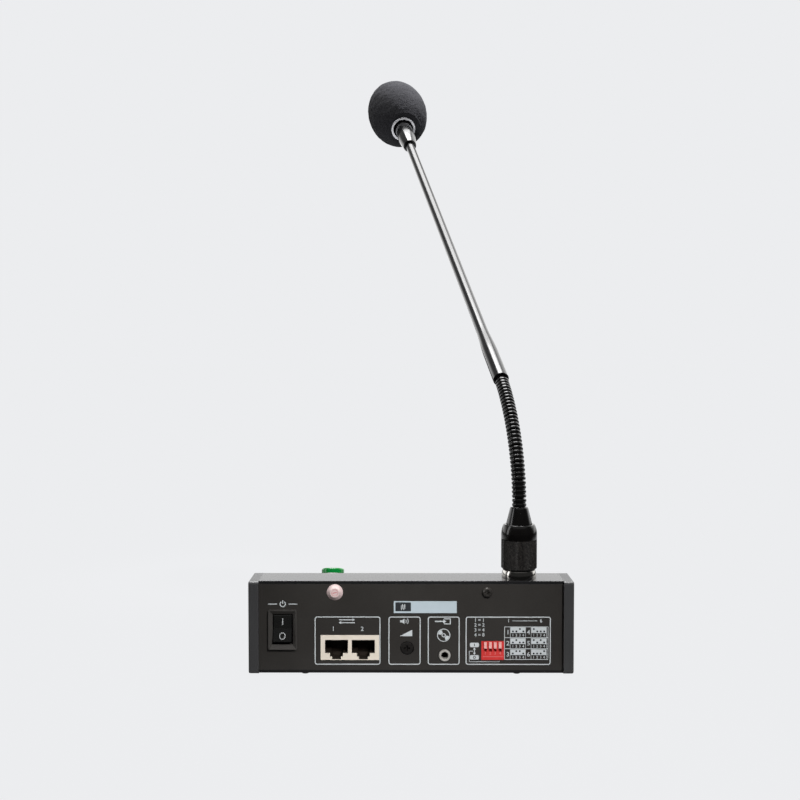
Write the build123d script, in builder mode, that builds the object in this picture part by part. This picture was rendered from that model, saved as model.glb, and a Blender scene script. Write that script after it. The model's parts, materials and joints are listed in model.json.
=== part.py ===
"""Desk paging microphone: a wedge console with a plug-in gooseneck microphone.

The frame is the desk's: +Z is up, the user sits on the -Y side, the sockets are on the +Y side,
and the origin is on the desk under the middle of the case. All lengths are millimetres.
"""

import os
from math import atan2, cos, degrees, radians, sin, sqrt, tan

from build123d import *

os.makedirs("parts", exist_ok=True)

# Case
case_width = 167.2
case_depth = 135.0
case_height = 47.8
front_height = 18.0
strip_depth = 22.8
cheek_thickness = 5.2
cheek_overhang = 2.5
cheek_edge_radius = 0.8
cheek_corner_radius = 1.6
cheek_rim = 9.0
cheek_pocket_depth = 2.6
cover_sheet = 1.5
cover_bend_radius = 2.2
cover_edge_radius = 0.4
panel_sheet = 1.5
tray_sheet = 1.5
side_flange_height = 10.0
panel_flange_depth = 9.0
cover_lip_depth = 9.0
joint_gap = 0.15
overrun = 1.0

# Places across the case, as shares of half the cover's width; the user's right is positive
switch_place_share = 0.8431
link_place_share = 0.4023
trimmer_place_share = 0.0261
jack_place_share = -0.2207
dip_place_share = -0.5367
label_place_share = -0.0931
mic_place_share = -0.7194
talk_place_share = 0.5446
lamp_place_share = 0.2296
zone_pitch_share = 0.3444
can_place_share = 0.6633
panel_screw_place_share = 0.5
base_screw_place_share = 0.7015

# Feet
foot_height = 2.5
foot_radius = 6.0
foot_inset = 17.5
foot_stud_radius = 2.0
foot_stud_clearance = 0.05
foot_stud_rise = 0.6
foot_edge_radius = 0.6

# Screws
screw_shank_radius = 1.45
screw_thread_clearance = 0.03
screw_hole_clearance = 0.15
pan_head_radius = 2.65
pan_head_height = 1.7
pan_head_round = 0.9
panel_screw_length = 5.0
panel_screw_height = 44.4
flat_head_radius = 2.8
flat_head_height = 1.6
cheek_screw_length = 9.0
cheek_screw_inset = 24.0
cheek_screw_height = 8.0
cheek_screw_drop = 5.0
tab_width = 9.0
tab_height = 9.0
tab_thickness = 3.2
side_tab_length = 12.0
cross_arm = 3.2
cross_width = 0.8
cross_depth = 1.1

# Stickers
seal_radius = 4.15
seal_crown_radius = 2.2
seal_hem = 0.15
sticker_thickness = 0.12
seal_lift = 0.05
label_width = 32.4
label_height = 6.15
label_z = 36.7

# Main circuit board
board_side_gap = 8.4
board_depth = 72.0
board_thickness = 1.6
board_top = 9.2
board_rear_inset = 5.6
standoff_radius = 2.6
standoff_inset = 5.0
board_screw_radius = 1.2
board_screw_head_radius = 2.2
board_screw_head_height = 1.4
board_screw_length = 4.2

# Parts soldered to the main board
chip_size = 9.0
chip_height = 1.7
chip_x = 14.0
chip_row = 22.0
can_radius = 4.0
can_height = 11.0
can_pitch = 10.0
can_row = 14.0
solder_gap = 0.05

# Power switch
switch_z = 25.17
bezel_width = 14.6
bezel_height = 20.6
bezel_stand = 2.0
bezel_rim = 0.5
bezel_back_width = 13.2
bezel_back_height = 18.9
bezel_depth = 15.0
window_width = 10.4
window_height = 15.8
window_sink = 1.6
window_depth = 8.5
cutout_clearance = 0.15
rocker_width = 9.3
rocker_half = 6.9
rocker_face_angle = 9.0
rocker_throw = 18.0
rocker_pivot_sink = 3.2
rocker_face_lift = 4.3
rocker_back = 2.4
rocker_end_radius = 0.5
pivot_pin_radius = 1.1
pivot_pin_clearance = 0.04
pivot_pin_reach = 1.0
blade_width = 4.8
blade_thickness = 0.8
blade_length = 8.0
blade_pitch = 5.0

# Twin network socket
link_width = 30.2
link_height = 12.9
link_depth = 17.0
link_stand = 0.3
link_cutout_gap = 0.25
link_cutout_below = 0.6
port_pitch = 13.85
port_width = 11.9
port_height = 6.9
port_top_wall = 2.45
port_depth = 13.0
step_width = 6.65
step_height = 1.8
latch_width = 4.6
latch_height = 1.5
latch_depth = 9.0
contact_count = 8
contact_pitch = 1.02
contact_width = 0.45
contact_length = 6.5
contact_tilt = 18.0
contact_inset = 2.6
contact_gap = 0.1

# Volume trimmer
trimmer_z = 15.33
trimmer_radius = 3.25
trimmer_stand = 0.2
trimmer_disc = 3.4
trimmer_edge_radius = 0.6
trimmer_hole_clearance = 0.3
trimmer_cross_arm = 3.0
trimmer_cross_width = 0.9
trimmer_cross_depth = 1.4
trimmer_shaft_radius = 2.2
trimmer_shaft_length = 4.0
trimmer_fit = 0.05
trimmer_body_width = 9.6
trimmer_body_depth = 8.5
trimmer_body_height = 11.0

# Line-in jack for a 3.5 mm plug
jack_z = 11.54
jack_bore_radius = 1.83
jack_ring_radius = 3.05
jack_stand = 0.9
jack_ring_edge = 0.4
jack_body_width = 6.6
jack_body_height = 4.9
jack_body_depth = 12.0
jack_bore_depth = 10.5
jack_hole_clearance = 0.15

# Address switch
dip_width = 11.7
dip_height = 9.8
dip_depth = 8.0
dip_sink = 0.1
dip_cutout_gap = 0.2
dip_count = 4
dip_pitch = 2.54
dip_slot_width = 1.6
dip_slot_height = 5.2
dip_slot_top_wall = 0.35
dip_slot_depth = 2.6
dip_slider_width = 1.4
dip_slider_height = 3.2
dip_slider_stand = 0.7
dip_slider_clearance = 0.1
dip_travel = 1.75

# Key board under the deck, measured along the slope and square to it
key_board_side_gap = 12.4
key_board_start = 10.0
key_board_length = 72.0
key_board_drop = 7.0
key_board_thickness = 1.6
key_post_radius = 3.0
key_post_inset = 5.0

# Talk button
talk_along = 18.6
talk_radius = 6.15
talk_stand = 3.1
talk_edge = 1.55
talk_clearance = 0.15
talk_bezel_radius = 8.4
talk_bezel_stand = 0.8
talk_bezel_edge = 0.4
talk_bezel_wall = 0.7
talk_flange_radius = 7.6
talk_flange = 0.8
talk_travel = 1.0
talk_switch_size = 8.0
talk_switch_height = 3.1
stem_radius = 1.5
stem_clearance = 0.05
stem_length = 3.0
stem_bottom_gap = 0.3

# Zone keys
zone_count = 4
zone_along = 66.0
zone_width = 15.0
zone_length = 9.0
zone_corner = 1.5
zone_stand = 1.0
zone_edge = 0.4
zone_clearance = 0.2
zone_flange_reach = 0.9
zone_flange = 0.8
zone_travel = 0.6
key_switch_size = 6.2
key_switch_height = 3.5

# Indicator lamps
lamp_count = 3
lamp_radius = 1.5
lamp_pitch = 9.0
lamp_along = 18.6
lamp_stand = 0.5
lamp_clearance = 0.1
lamp_flange_radius = 1.9
lamp_flange = 1.0

# Microphone socket, all on the microphone's upright axis
mic_from_rear = 12.2
socket_flange_radius = 9.0
socket_flange_height = 4.2
socket_flange_foot = 1.0
socket_flange_top_radius = 7.9
socket_thread_radius = 7.2
socket_barrel_radius = 6.6
socket_bore_radius = 5.9
socket_top = 9.7
socket_drop = 12.0
socket_nut_across = 16.0
socket_nut_height = 2.5
nut_sides = 6
insert_height = 13.0
insert_fit = 0.05
pin_count = 3
pin_circle_radius = 3.1
pin_radius = 0.75
pin_hole_clearance = 0.05
pin_length = 8.0
pin_hole_depth = 9.0
plug_gap = 0.3
plug_flange_height = 2.7
plug_flange_radius = 6.8
plug_spigot_fit = 0.1
plug_post_radius = 3.0
plug_post_height = 5.0

# Coupling nut and tail of the microphone
nut_radius = 9.35
nut_bottom = 4.4
nut_knurl_height = 17.2
nut_top_radius = 8.0
nut_taper_height = 6.4
nut_taper_bulge = 0.45
nut_edge_radius = 1.1
nut_thread_clearance = 0.08
nut_lid = 2.0
nut_chamber_wall = 1.2
nut_land = 0.5
tail_gap = 0.12
tail_foot_radius = 6.75
tail_top_radius = 4.5
tail_cone_height = 9.0
tail_bore_radius = 2.95
tail_edge = 0.25

# Gooseneck: ribbed links, each with a ball that sits in the link below
rib_pitch = 2.26
rib_radius = 3.6
valley_radius = 3.05
rib_crest_share = 0.4
link_gap = 0.75
ball_radius = 2.45
ball_fit = 0.05
socket_reach = 3.2
lead_bore_radius = 1.0
root_ribs = 2
link_ribs = 4
neck_links = 8
neck_root_depth = 8.0
neck_tip_depth = 8.0
neck_heading = 9.6
wand_lean = 58.3
bend_exponent = 0.74
first_bend_share = 0.6

# Rigid tube with its flared lower end
flare_start_length = 1.9
flare_radius = 4.4
flare_length = 27.0
flare_cone_length = 27.0
tube_radius = 3.42
tube_wall = 0.8
tube_length = 300.0
flare_edge = 0.3
neck_tip_fit = 0.1

# Capsule housing at the tube's upper end
housing_overlap_length = 9.0
housing_start_radius = 5.1
housing_end_radius = 7.0
housing_cone_length = 39.0
housing_barrel_length = 48.0
housing_wall = 1.0
housing_edge = 0.3
capsule_radius = 4.85
capsule_height = 6.5
capsule_recess = 2.0
capsule_seat_wall = 1.2
grille_hole_radius = 1.1
grille_circle_radius = 3.0
grille_holes = 6

# Foam windscreen
foam_half_length = 44.0
foam_radius = 25.0
foam_mouth_depth = 36.5
foam_bore_clearance = 0.3
foam_bore_end_gap = 1.5
foam_edge_radius = 2.0
ring_outer_radius = 9.95
ring_inner_radius = 7.6
ring_length = 3.2
ring_stand = 0.6
ring_fit = 0.05

# Places worked out from the sizes above
case_top = foot_height + case_height
case_rear = case_depth / 2
panel_face = case_rear - cheek_overhang
cover_front = -case_depth / 2 + cheek_overhang
cover_half = case_width / 2 - cheek_thickness
switch_x = cover_half * switch_place_share
link_x = cover_half * link_place_share
trimmer_x = cover_half * trimmer_place_share
jack_x = cover_half * jack_place_share
dip_x = cover_half * dip_place_share
label_x = cover_half * label_place_share
mic_x = cover_half * mic_place_share
talk_x = cover_half * talk_place_share
lamp_x = cover_half * lamp_place_share
zone_pitch = cover_half * zone_pitch_share
can_x = cover_half * can_place_share
panel_screw_spacing = 2 * cover_half * panel_screw_place_share
base_screw_spacing = 2 * cover_half * base_screw_place_share
board_width = 2 * (cover_half - board_side_gap)
key_board_width = 2 * (cover_half - key_board_side_gap)
strip_front = case_rear - strip_depth
slope_angle = degrees(atan2(case_height - front_height, case_depth - strip_depth))
slope_tan = tan(radians(slope_angle))
slope_cos = cos(radians(slope_angle))
slope_sin = sin(radians(slope_angle))
tray_top = foot_height + tray_sheet
cover_under = case_top - cover_sheet
panel_top = cover_under - joint_gap
panel_back = panel_face - panel_sheet
deck = Plane(
    origin=(0, strip_front, case_top), x_dir=(1, 0, 0), z_dir=(0, -slope_sin, slope_cos)
)
deck_axis = Axis(deck.origin, deck.z_dir)


def deck_z(y, depth=0):
    """Height of the sloping deck at y, or of the surface that lies depth below it."""
    return case_top - (strip_front - y) * slope_tan - depth / slope_cos


def deck_plane(x, along, lift=0):
    """Plane parallel to the deck, at x and at a distance along the slope."""
    place = deck.from_local_coords(Vector(x, -along, lift))
    return Plane(origin=place, x_dir=deck.x_dir, z_dir=deck.z_dir)


def rear_plane(x, z, y):
    """Plane that faces the rear, its local X running towards -X and its local Y up."""
    return Plane(origin=(x, y, z), x_dir=(-1, 0, 0), z_dir=(0, 1, 0))


def save(part, name):
    """Label a finished piece and write its file."""
    part.label = name
    export_step(part, f"parts/{name}.step")


def group(pieces, name):
    """Write several alike pieces as one node."""
    save(Compound(children=list(pieces)), name)


# Top cover: one folded sheet with a flat strip, a sloping deck and a front wall
cover_inner_front = cover_front + cover_sheet
cover_corner_y = strip_front + cover_sheet * tan(radians(slope_angle / 2))
talk_plane = deck_plane(talk_x, talk_along)
zone_xs = [(i - (zone_count - 1) / 2) * zone_pitch for i in range(zone_count)]
lamp_xs = [lamp_x - i * lamp_pitch for i in range(lamp_count)]
mic_y = case_rear - mic_from_rear
key_board_end = key_board_start + key_board_length
post_places = [
    (side * (key_board_width / 2 - key_post_inset), along)
    for side in (-1, 1)
    for along in (key_board_start + key_post_inset, key_board_end - key_post_inset)
]
panel_tab_y = panel_back - tab_thickness / 2
side_screw_z = cover_under - cheek_screw_drop
base_screw_ys = (panel_back - panel_flange_depth / 2, cover_inner_front + cover_lip_depth / 2)
talk_hole_radius = talk_radius + talk_clearance + talk_bezel_wall

with BuildPart() as top_cover:
    with BuildSketch(Plane.YZ):
        with BuildLine():
            Polyline(
                (panel_face, case_top),
                (strip_front, case_top),
                (cover_front, deck_z(cover_front)),
                (cover_front, tray_top),
                (cover_inner_front, tray_top),
                (cover_inner_front, deck_z(cover_inner_front, cover_sheet)),
                (cover_corner_y, cover_under),
                (panel_face, cover_under),
                close=True,
            )
        make_face()
    extrude(amount=cover_half, both=True)
    front_edges = top_cover.edges().filter_by(Axis.X).group_by(Axis.Y)[0]
    fillet(front_edges.sort_by(Axis.Z)[-1], cover_bend_radius)
    rear_edges = top_cover.edges().filter_by(Axis.X).group_by(Axis.Y)[-1]
    fillet(rear_edges.sort_by(Axis.Z)[-1], cover_edge_radius)
    with Locations((0, cover_inner_front + cover_lip_depth / 2, tray_top + cover_sheet / 2)):
        Box(2 * (cover_half - tray_sheet - cover_sheet), cover_lip_depth, cover_sheet)
    with Locations(*[(s * panel_screw_spacing / 2, panel_tab_y, cover_under - tab_height / 2) for s in (-1, 1)]):
        Box(tab_width, tab_thickness, tab_height)
    with Locations(
        *[(s * (cover_half - tab_thickness / 2), mic_y - side_tab_length, cover_under - tab_height / 2) for s in (-1, 1)]
    ):
        Box(tab_thickness, side_tab_length, tab_height)
    with Locations(rear_plane(0, panel_screw_height, panel_face)):
        with GridLocations(panel_screw_spacing, 0, 2, 1):
            Cylinder(
                screw_shank_radius + screw_thread_clearance,
                2 * (panel_sheet + tab_thickness + overrun),
                mode=Mode.SUBTRACT,
            )
    with Locations(Plane(origin=(0, mic_y - side_tab_length, side_screw_z), z_dir=(1, 0, 0))):
        Cylinder(screw_shank_radius + screw_thread_clearance, case_width, mode=Mode.SUBTRACT)
    with Locations(*[(s * base_screw_spacing / 2, base_screw_ys[1], tray_top) for s in (-1, 1)]):
        Cylinder(screw_shank_radius + screw_thread_clearance, 2 * (cover_sheet + overrun), mode=Mode.SUBTRACT)
    with Locations((mic_x, mic_y, case_top)):
        Cylinder(socket_barrel_radius + insert_fit, 2 * (cover_sheet + overrun), mode=Mode.SUBTRACT)
    with BuildSketch(talk_plane):
        Circle(talk_hole_radius)
    extrude(amount=cover_sheet + overrun, both=True, mode=Mode.SUBTRACT)
    with BuildSketch(deck_plane(0, lamp_along)):
        with Locations(*[(x, 0) for x in lamp_xs]):
            Circle(lamp_radius + lamp_clearance)
    extrude(amount=cover_sheet + overrun, both=True, mode=Mode.SUBTRACT)
    with BuildSketch(deck_plane(0, zone_along)):
        with Locations(*[(x, 0) for x in zone_xs]):
            RectangleRounded(
                zone_width + 2 * zone_clearance, zone_length + 2 * zone_clearance, zone_corner + zone_clearance
            )
    extrude(amount=cover_sheet + overrun, both=True, mode=Mode.SUBTRACT)
save(top_cover.part, "top_cover")

# Base tray: floor plate with an upright flange inside each cheek
foot_xs = case_width / 2 - foot_inset
foot_ys = case_depth / 2 - foot_inset
flange_length = panel_back - panel_flange_depth - cover_inner_front - cover_lip_depth
flange_y = (panel_back - panel_flange_depth + cover_inner_front + cover_lip_depth) / 2
cheek_screw_ys = (flange_y - flange_length / 2 + cheek_screw_inset, flange_y + flange_length / 2 - cheek_screw_inset)

with BuildPart() as base_tray:
    with Locations((0, (panel_face + cover_front) / 2, foot_height + tray_sheet / 2)):
        Box(2 * cover_half, panel_face - cover_front, tray_sheet)
    for side in (-1, 1):
        with Locations((side * (cover_half - tray_sheet / 2), flange_y, tray_top + side_flange_height / 2)):
            Box(tray_sheet, flange_length, side_flange_height)
    with Locations((0, 0, foot_height)):
        with GridLocations(2 * foot_xs, 2 * foot_ys, 2, 2):
            Cylinder(foot_stud_radius + foot_stud_clearance, 2 * (tray_sheet + overrun), mode=Mode.SUBTRACT)
    with Locations(*[(s * base_screw_spacing / 2, y, foot_height) for s in (-1, 1) for y in base_screw_ys]):
        Cylinder(screw_shank_radius + screw_hole_clearance, 2 * (tray_sheet + overrun), mode=Mode.SUBTRACT)
    for y in cheek_screw_ys:
        with Locations(Plane(origin=(0, y, foot_height + cheek_screw_height), z_dir=(1, 0, 0))):
            Cylinder(screw_shank_radius + screw_thread_clearance, case_width, mode=Mode.SUBTRACT)
save(base_tray.part, "base_tray")

# Rear panel: upright plate with cut-outs for the switch and sockets and a foot flange
link_z = board_top + link_height / 2
dip_z = board_top + dip_height / 2

with BuildPart() as rear_panel:
    with Locations((0, panel_face - panel_sheet / 2, (tray_top + panel_top) / 2)):
        Box(2 * cover_half, panel_sheet, panel_top - tray_top)
    with Locations((0, panel_back - panel_flange_depth / 2, tray_top + panel_sheet / 2)):
        Box(2 * (cover_half - tray_sheet), panel_flange_depth, panel_sheet)
    with BuildSketch(rear_plane(0, 0, panel_face + overrun)):
        with Locations((-switch_x, switch_z)):
            Rectangle(bezel_back_width + 2 * cutout_clearance, bezel_back_height + 2 * cutout_clearance)
        with Locations((-link_x, link_z - link_cutout_below / 2)):
            Rectangle(link_width + 2 * link_cutout_gap, link_height + link_cutout_gap + link_cutout_below)
        with Locations((-trimmer_x, trimmer_z)):
            Circle(trimmer_radius + trimmer_hole_clearance)
        with Locations((-jack_x, jack_z)):
            Circle(jack_ring_radius + jack_hole_clearance)
        with Locations((-dip_x, dip_z)):
            Rectangle(dip_width + 2 * dip_cutout_gap, dip_height + 2 * dip_cutout_gap)
        with Locations((0, panel_screw_height)):
            with GridLocations(panel_screw_spacing, 0, 2, 1):
                Circle(screw_shank_radius + screw_hole_clearance)
    extrude(amount=-(panel_sheet + 2 * overrun), mode=Mode.SUBTRACT)
    with Locations(*[(s * base_screw_spacing / 2, base_screw_ys[0], tray_top) for s in (-1, 1)]):
        Cylinder(screw_shank_radius + screw_thread_clearance, 2 * (panel_sheet + overrun), mode=Mode.SUBTRACT)
save(rear_panel.part, "rear_panel")


# Cheeks: the two moulded end plates, pocketed on the inside
def cheek(side):
    inner_x = side * cover_half
    outer_x = side * case_width / 2
    front = -case_depth / 2
    with BuildPart() as piece:
        with BuildSketch(Plane.YZ.offset(inner_x)):
            with BuildLine():
                Polyline(
                    (case_rear, foot_height),
                    (case_rear, case_top),
                    (strip_front, case_top),
                    (front, deck_z(front)),
                    (front, foot_height),
                    close=True,
                )
            make_face()
        extrude(amount=side * cheek_thickness)
        corners = piece.edges().filter_by(Axis.X).sort_by(Axis.Y)
        fillet(corners[:2] + corners[-2:], cheek_corner_radius)
        outer_face = piece.faces().sort_by(Axis.X)[-1 if side > 0 else 0]
        fillet(outer_face.edges(), cheek_edge_radius)
        with BuildSketch(Plane.YZ.offset(inner_x)):
            with BuildLine():
                Polyline(
                    (case_rear - cheek_rim, foot_height + cheek_rim + cheek_screw_height),
                    (case_rear - cheek_rim, case_top - cheek_rim),
                    (strip_front, case_top - cheek_rim),
                    (front + cheek_rim, deck_z(front + cheek_rim, cheek_rim)),
                    close=True,
                )
            make_face()
        extrude(amount=side * cheek_pocket_depth, mode=Mode.SUBTRACT)
        places = [(y, foot_height + cheek_screw_height) for y in cheek_screw_ys]
        places.append((mic_y - side_tab_length, side_screw_z))
        for y, z in places:
            with BuildSketch(Plane(origin=(outer_x, y, z), z_dir=(side, 0, 0))):
                Circle(screw_shank_radius + screw_hole_clearance)
            extrude(amount=-cheek_thickness, mode=Mode.SUBTRACT)
            with Locations(Plane(origin=(outer_x, y, z), z_dir=(side, 0, 0))):
                with Locations((0, 0, -flat_head_height / 2)):
                    Cone(
                        screw_shank_radius + screw_hole_clearance,
                        flat_head_radius + screw_hole_clearance,
                        flat_head_height,
                        mode=Mode.SUBTRACT,
                    )
    return piece.part


save(cheek(1), "cheek_right")
save(cheek(-1), "cheek_left")

# Rubber feet, each with a stud pressed into the tray
with BuildPart() as foot:
    with BuildSketch(Plane.XY):
        Circle(foot_radius)
    extrude(amount=foot_height)
    fillet(foot.faces().sort_by(Axis.Z)[0].edges(), foot_edge_radius)
    with BuildSketch(Plane.XY.offset(foot_height)):
        Circle(foot_stud_radius)
    extrude(amount=tray_sheet + foot_stud_rise)
group(
    [foot.part.moved(Location((x, y, 0))) for x in (-foot_xs, foot_xs) for y in (-foot_ys, foot_ys)],
    "rubber_feet",
)


# Screws: pan heads at the rear panel and under the tray, flat heads in the cheeks
def cross_recess(arm, width, depth, plane):
    """A cross-shaped cutter that goes depth below the plane."""
    with BuildPart() as cutter:
        with BuildSketch(plane):
            Rectangle(arm, width)
            Rectangle(width, arm)
        extrude(amount=-depth)
    return cutter.part


with BuildPart() as pan_screw:
    with BuildSketch(Plane.XY):
        Circle(pan_head_radius)
    extrude(amount=pan_head_height)
    fillet(pan_screw.faces().sort_by(Axis.Z)[-1].edges(), pan_head_round)
    add(
        cross_recess(cross_arm, cross_width, cross_depth, Plane.XY.offset(pan_head_height)),
        mode=Mode.SUBTRACT,
    )
    with BuildSketch(Plane.XY):
        Circle(screw_shank_radius)
    extrude(amount=-panel_screw_length)
rear_screws = [
    pan_screw.part.moved(rear_plane(s * panel_screw_spacing / 2, panel_screw_height, panel_face).location)
    for s in (-1, 1)
]
base_screws = [
    pan_screw.part.moved(Plane(origin=(s * base_screw_spacing / 2, y, foot_height), z_dir=(0, 0, -1)).location)
    for s in (-1, 1)
    for y in base_screw_ys
]
group(rear_screws + base_screws, "panel_screws")

with BuildPart() as flat_screw:
    with Locations((0, 0, -flat_head_height / 2)):
        Cone(screw_shank_radius, flat_head_radius, flat_head_height)
    add(cross_recess(cross_arm, cross_width, cross_depth, Plane.XY), mode=Mode.SUBTRACT)
    with BuildSketch(Plane.XY.offset(-flat_head_height)):
        Circle(screw_shank_radius)
    extrude(amount=-(cheek_screw_length - flat_head_height))
group(
    [
        flat_screw.part.moved(Plane(origin=(s * case_width / 2, y, z), z_dir=(s, 0, 0)).location)
        for s in (-1, 1)
        for y, z in [(y, foot_height + cheek_screw_height) for y in cheek_screw_ys]
        + [(mic_y - side_tab_length, side_screw_z)]
    ],
    "cheek_screws",
)

def turned(points, plane, axis, arc=None):
    """A turned piece from its half outline; arc replaces the line that follows that point."""
    with BuildPart() as piece:
        with BuildSketch(plane):
            with BuildLine():
                for i, (start, end) in enumerate(zip(points, points[1:] + points[:1])):
                    if arc is not None and i == arc[0]:
                        ThreePointArc(start, arc[1], end)
                    else:
                        Line(start, end)
            make_face()
        revolve(axis=axis)
    return piece.part


# Round seal draped over one rear screw, and the blank serial label
seal_centre = (panel_screw_spacing / 2, panel_face, panel_screw_height)
seal_under = pan_head_height + seal_lift
save(
    turned(
        [
            (0, seal_under),
            (seal_crown_radius, seal_under),
            (seal_radius - seal_hem, 0),
            (seal_radius, 0),
            (seal_crown_radius + seal_hem, seal_under + sticker_thickness),
            (0, seal_under + sticker_thickness),
        ],
        Plane(origin=seal_centre, x_dir=(1, 0, 0), z_dir=(0, 0, 1)),
        Axis(seal_centre, (0, 1, 0)),
    ),
    "warranty_seal",
)

with BuildPart() as serial_label:
    with BuildSketch(rear_plane(label_x, label_z, panel_face)):
        Rectangle(label_width, label_height)
    extrude(amount=sticker_thickness)
save(serial_label.part, "serial_label")

# Main circuit board on four standoffs
board_rear = panel_face - board_rear_inset + panel_sheet + overrun
board_y = board_rear - board_depth / 2
board_under = board_top - board_thickness
standoff_grid = (board_width - 2 * standoff_inset, board_depth - 2 * standoff_inset)
standoff_setback = panel_flange_depth

with BuildPart() as main_board:
    with Locations((0, board_y, board_top - board_thickness / 2)):
        Box(board_width, board_depth, board_thickness)
    with Locations((0, board_y - standoff_setback, board_top)):
        with GridLocations(standoff_grid[0], standoff_grid[1] - standoff_setback, 2, 2):
            Cylinder(board_screw_radius + screw_hole_clearance, 2 * (board_thickness + overrun), mode=Mode.SUBTRACT)
save(main_board.part, "main_board")

with BuildPart() as standoffs:
    with Locations((0, board_y - standoff_setback, (tray_top + board_under) / 2)):
        with GridLocations(standoff_grid[0], standoff_grid[1] - standoff_setback, 2, 2):
            Cylinder(standoff_radius, board_under - tray_top)
            Cylinder(board_screw_radius + screw_thread_clearance, board_under - tray_top, mode=Mode.SUBTRACT)
save(standoffs.part, "board_standoffs")

with BuildPart() as board_screws:
    with Locations((0, board_y - standoff_setback, board_top)):
        with GridLocations(standoff_grid[0], standoff_grid[1] - standoff_setback, 2, 2):
            with Locations((0, 0, board_screw_head_height / 2)):
                Cylinder(board_screw_head_radius, board_screw_head_height)
            with Locations((0, 0, -board_screw_length / 2)):
                Cylinder(board_screw_radius, board_screw_length)
save(board_screws.part, "board_screws")

with BuildPart() as board_parts:
    for i in range(2):
        with Locations((-chip_x + i * 2 * chip_x, board_y - chip_row, board_top + chip_height / 2)):
            Box(chip_size, chip_size, chip_height)
    for i in range(3):
        with Locations((-can_x + i * can_pitch, board_y - can_row, board_top + can_height / 2)):
            Cylinder(can_radius, can_height)
save(board_parts.part, "board_parts")

# Power switch housing: a raised frame whose faces slope in to the rocker's window
pivot_y = panel_face - rocker_pivot_sink

with BuildPart() as switch_housing:
    with BuildSketch(rear_plane(switch_x, switch_z, panel_face)):
        Rectangle(bezel_width, bezel_height)
    extrude(amount=bezel_stand)
    fillet(switch_housing.edges().filter_by(Axis.Y), bezel_rim)
    with BuildSketch(rear_plane(switch_x, switch_z, panel_face)):
        Rectangle(bezel_back_width, bezel_back_height)
    extrude(amount=-bezel_depth)
    with BuildSketch(rear_plane(switch_x, switch_z, panel_face + bezel_stand)):
        Rectangle(bezel_width - 2 * bezel_rim, bezel_height - 2 * bezel_rim)
    with BuildSketch(rear_plane(switch_x, switch_z, panel_face + bezel_stand - window_sink)):
        Rectangle(window_width, window_height)
    loft(mode=Mode.SUBTRACT)
    with BuildSketch(rear_plane(switch_x, switch_z, panel_face + bezel_stand - window_sink)):
        Rectangle(window_width, window_height)
    extrude(amount=-window_depth, mode=Mode.SUBTRACT)
    with Locations(Plane(origin=(switch_x, pivot_y, switch_z), z_dir=(1, 0, 0))):
        Cylinder(
            pivot_pin_radius + pivot_pin_clearance,
            window_width + 2 * (pivot_pin_reach - (window_width - rocker_width) / 2 + pivot_pin_clearance),
            mode=Mode.SUBTRACT,
        )
save(switch_housing.part, "switch_housing")

# Rocker: drawn level, then turned so that its upper half is pressed in
rocker_rise = rocker_half * tan(radians(rocker_face_angle))
rocker_section = Plane(origin=(switch_x, pivot_y, switch_z), x_dir=(0, 1, 0), z_dir=(1, 0, 0))

with BuildPart() as level_rocker:
    with BuildSketch(rocker_section):
        with BuildLine():
            Polyline(
                (rocker_face_lift, 0),
                (rocker_face_lift + rocker_rise, rocker_half),
                (0, rocker_half),
                (-rocker_back, 0),
                (0, -rocker_half),
                (rocker_face_lift + rocker_rise, -rocker_half),
                close=True,
            )
        make_face()
    extrude(amount=rocker_width / 2, both=True)
    end_edges = level_rocker.edges().filter_by(Axis.X).sort_by(Axis.Y)[-2:]
    fillet(end_edges, rocker_end_radius)
    with Locations(Plane(origin=(switch_x, pivot_y, switch_z), z_dir=(1, 0, 0))):
        Cylinder(pivot_pin_radius, rocker_width + 2 * pivot_pin_reach)
rocker_axis = Axis((switch_x, pivot_y, switch_z), (1, 0, 0))
save(level_rocker.part.rotate(rocker_axis, rocker_throw / 2), "power_rocker")

with BuildPart() as switch_blades:
    for side in (-1, 1):
        with Locations(
            (switch_x, panel_face - bezel_depth - blade_length / 2, switch_z + side * blade_pitch / 2)
        ):
            Box(blade_width, blade_length, blade_thickness)
save(switch_blades.part, "switch_blades")

# Twin network socket: stepped openings with the latch at the bottom
link_face = panel_face + link_stand
port_xs = [link_x + side * port_pitch / 2 for side in (1, -1)]
port_ceiling = board_top + link_height - port_top_wall
port_floor = port_ceiling - port_height

with BuildPart() as link_socket:
    with Locations((link_x, link_face - link_depth / 2, link_z)):
        Box(link_width, link_depth, link_height)
    for x in port_xs:
        with Locations((x, link_face - port_depth / 2, port_ceiling - port_height / 2)):
            Box(port_width, port_depth, port_height, mode=Mode.SUBTRACT)
        with Locations((x, link_face - port_depth / 2, port_floor - step_height / 2)):
            Box(step_width, port_depth, step_height, mode=Mode.SUBTRACT)
        with Locations((x, link_face - latch_depth / 2, port_floor - step_height - latch_height / 2)):
            Box(latch_width, latch_depth, latch_height, mode=Mode.SUBTRACT)
save(link_socket.part, "link_socket")

contact_drop = contact_length * sin(radians(contact_tilt)) / 2
contact_half_thick = contact_width / 2 * cos(radians(contact_tilt))
with BuildPart() as link_contacts:
    for x in port_xs:
        for i in range(contact_count):
            contact_x = x + (i - (contact_count - 1) / 2) * contact_pitch
            contact_y = link_face - contact_inset - contact_length / 2
            contact_z = port_ceiling - contact_gap - contact_half_thick - contact_drop
            with Locations(Location((contact_x, contact_y, contact_z), (contact_tilt, 0, 0))):
                Box(contact_width, contact_length, contact_width)
save(link_contacts.part, "link_contacts")

# Volume trimmer: a disc with a cross slot, turned with a screwdriver
trimmer_face = panel_face + trimmer_stand
trimmer_back = trimmer_face - trimmer_disc
trimmer_plane = rear_plane(trimmer_x, trimmer_z, trimmer_face)

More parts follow.
